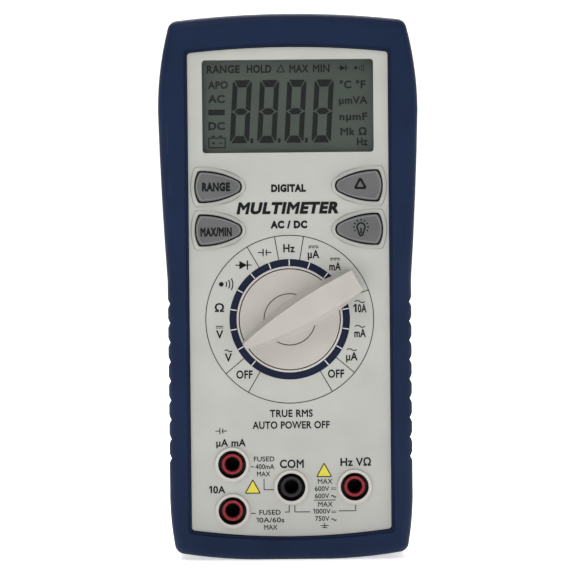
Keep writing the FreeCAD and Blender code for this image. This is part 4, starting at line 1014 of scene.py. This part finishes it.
def drawKeys():
    rim = newPrint()
    for name in keyNames:
        addBand(rim, keyOutline(name, keyShape["rimOuter"]), keyOutline(name, keyShape["rimInner"]))
    finishPiece("keyRimLines", rim, "lineInk", "meter", panelFace - filmLift)
    for name in keyNames:
        bevelHighlight = newPrint()
        addBand(bevelHighlight, keyOutline(name, keyShape["highlightOuter"]),
                keyOutline(name, keyShape["highlightInner"]))
        finishPiece(name + "Bevel", bevelHighlight, "keyEdgeHighlight", name + "_key",
                    keyFace - filmLift)
    for name, (addLegend, row) in keyLegends.items():
        keyX, _, keyZ = keyPlace[name]
        words = [part for part in row if isinstance(part, str)]
        x, z, *rest = row[len(words):]
        ink = newPrint()
        addLegend(ink, *words, keyX + x, keyZ + z, *rest)
        finishPiece(name + "Legend", ink, "ink", name + "_key", keyFace - filmLift)


drawKeys()
print("keys printed")


# camera, lights and floor

shot = {
    "lens": 146,
    "width": 172.8,
    "aimX": -0.43,
    "aimZ": 81.8,
    "pitch": 1.5,
    "roll": -0.557,
}
# name, place, size and power, in metres and watts
lights = [
    ("key", (-0.3, -0.65, 0.85), 0.45, 3.9),
    ("fill", (0.7, -0.7, 0.35), 0.7, 1.0),
    ("back", (0.0, 0.5, 0.8), 0.8, 8),
]
paper = {
    "skyLight": 0.24,
    "glow": 0.6,
    "reach": 10,        # how far the sheet runs to the sides and the front
    "bendStart": 1.2,
    "bendRadius": 0.6,
    "wallTop": 3.0,
    "drop": 0.00002,    # keeps it just under the meter's foot
}


def placeCamera():
    data = bpy.data.cameras.new("camera")
    data.lens = shot["lens"]
    data.clip_start = 0.01
    distance = shot["width"] * shot["lens"] / data.sensor_width
    camera = bpy.data.objects.new("camera", data)
    bpy.context.collection.objects.link(camera)
    pitch = radians(shot["pitch"])
    target = Vector((shot["aimX"], panelFace, shot["aimZ"])) * mm
    camera.location = target + Vector((0, -cos(pitch), sin(pitch))) * distance * mm
    facing = (target - camera.location).to_track_quat("-Z", "Y").to_matrix()
    camera.rotation_euler = (facing @ Matrix.Rotation(radians(shot["roll"]), 3, "Z")).to_euler()
    bpy.context.scene.camera = camera


def addLight(name, place, size, power):
    data = bpy.data.lights.new(name, "AREA")
    data.energy = power
    data.size = size
    light = bpy.data.objects.new(name, data)
    bpy.context.collection.objects.link(light)
    light.location = place
    aim = Vector((0, 0, 0.08))
    light.rotation_euler = (aim - Vector(place)).to_track_quat("-Z", "Y").to_euler()


def lightSky():
    world = bpy.data.worlds.new("studio")
    world.use_nodes = True
    tree = world.node_tree
    sky = tree.nodes["Background"]
    sky.inputs["Color"].default_value = (1, 1, 1, 1)
    # the backdrop past the paper's edge is white, and lights the meter only softly
    direct = addNode(tree, "ShaderNodeLightPath").outputs["Is Camera Ray"]
    strength = addNode(tree, "ShaderNodeMapRange", {
        "Value": direct, "To Min": paper["skyLight"], "To Max": 1.0})
    tree.links.new(strength.outputs["Result"], sky.inputs["Strength"])
    bpy.context.scene.world = world
    bpy.context.scene.view_settings.view_transform = "Standard"


def layPaper():
    # one sheet that lies flat, bends up behind the meter and stands as a wall
    start, radius, reach = paper["bendStart"], paper["bendRadius"], paper["reach"]
    turns = [radians(a) for a in range(0, 91, 10)]
    line = ([(-reach, 0.0)] + [(start + radius * sin(a), radius - radius * cos(a)) for a in turns]
            + [(start + radius, paper["wallTop"])])
    sheet = bmesh.new()
    rows = [[sheet.verts.new((x, y, z - paper["drop"])) for y, z in line] for x in (-reach, reach)]
    for k in range(len(line) - 1):
        sheet.faces.new((rows[0][k], rows[1][k], rows[1][k + 1], rows[0][k + 1]))
    mesh = bpy.data.meshes.new("floor")
    sheet.to_mesh(mesh)
    sheet.free()
    # matt studio paper: its own glow keeps it evenly white away from the lights
    material, _, shader, _ = startMaterial("studioPaper", "#FFFFFF", 0.9)
    shader.inputs["Emission Color"].default_value = linear("#FFFFFF")
    shader.inputs["Emission Strength"].default_value = paper["glow"]
    mesh.materials.append(material)
    floor = bpy.data.objects.new("floor", mesh)
    bpy.context.collection.objects.link(floor)


placeCamera()
lightSky()
for row in lights:
    addLight(*row)
layPaper()
print("stage built")
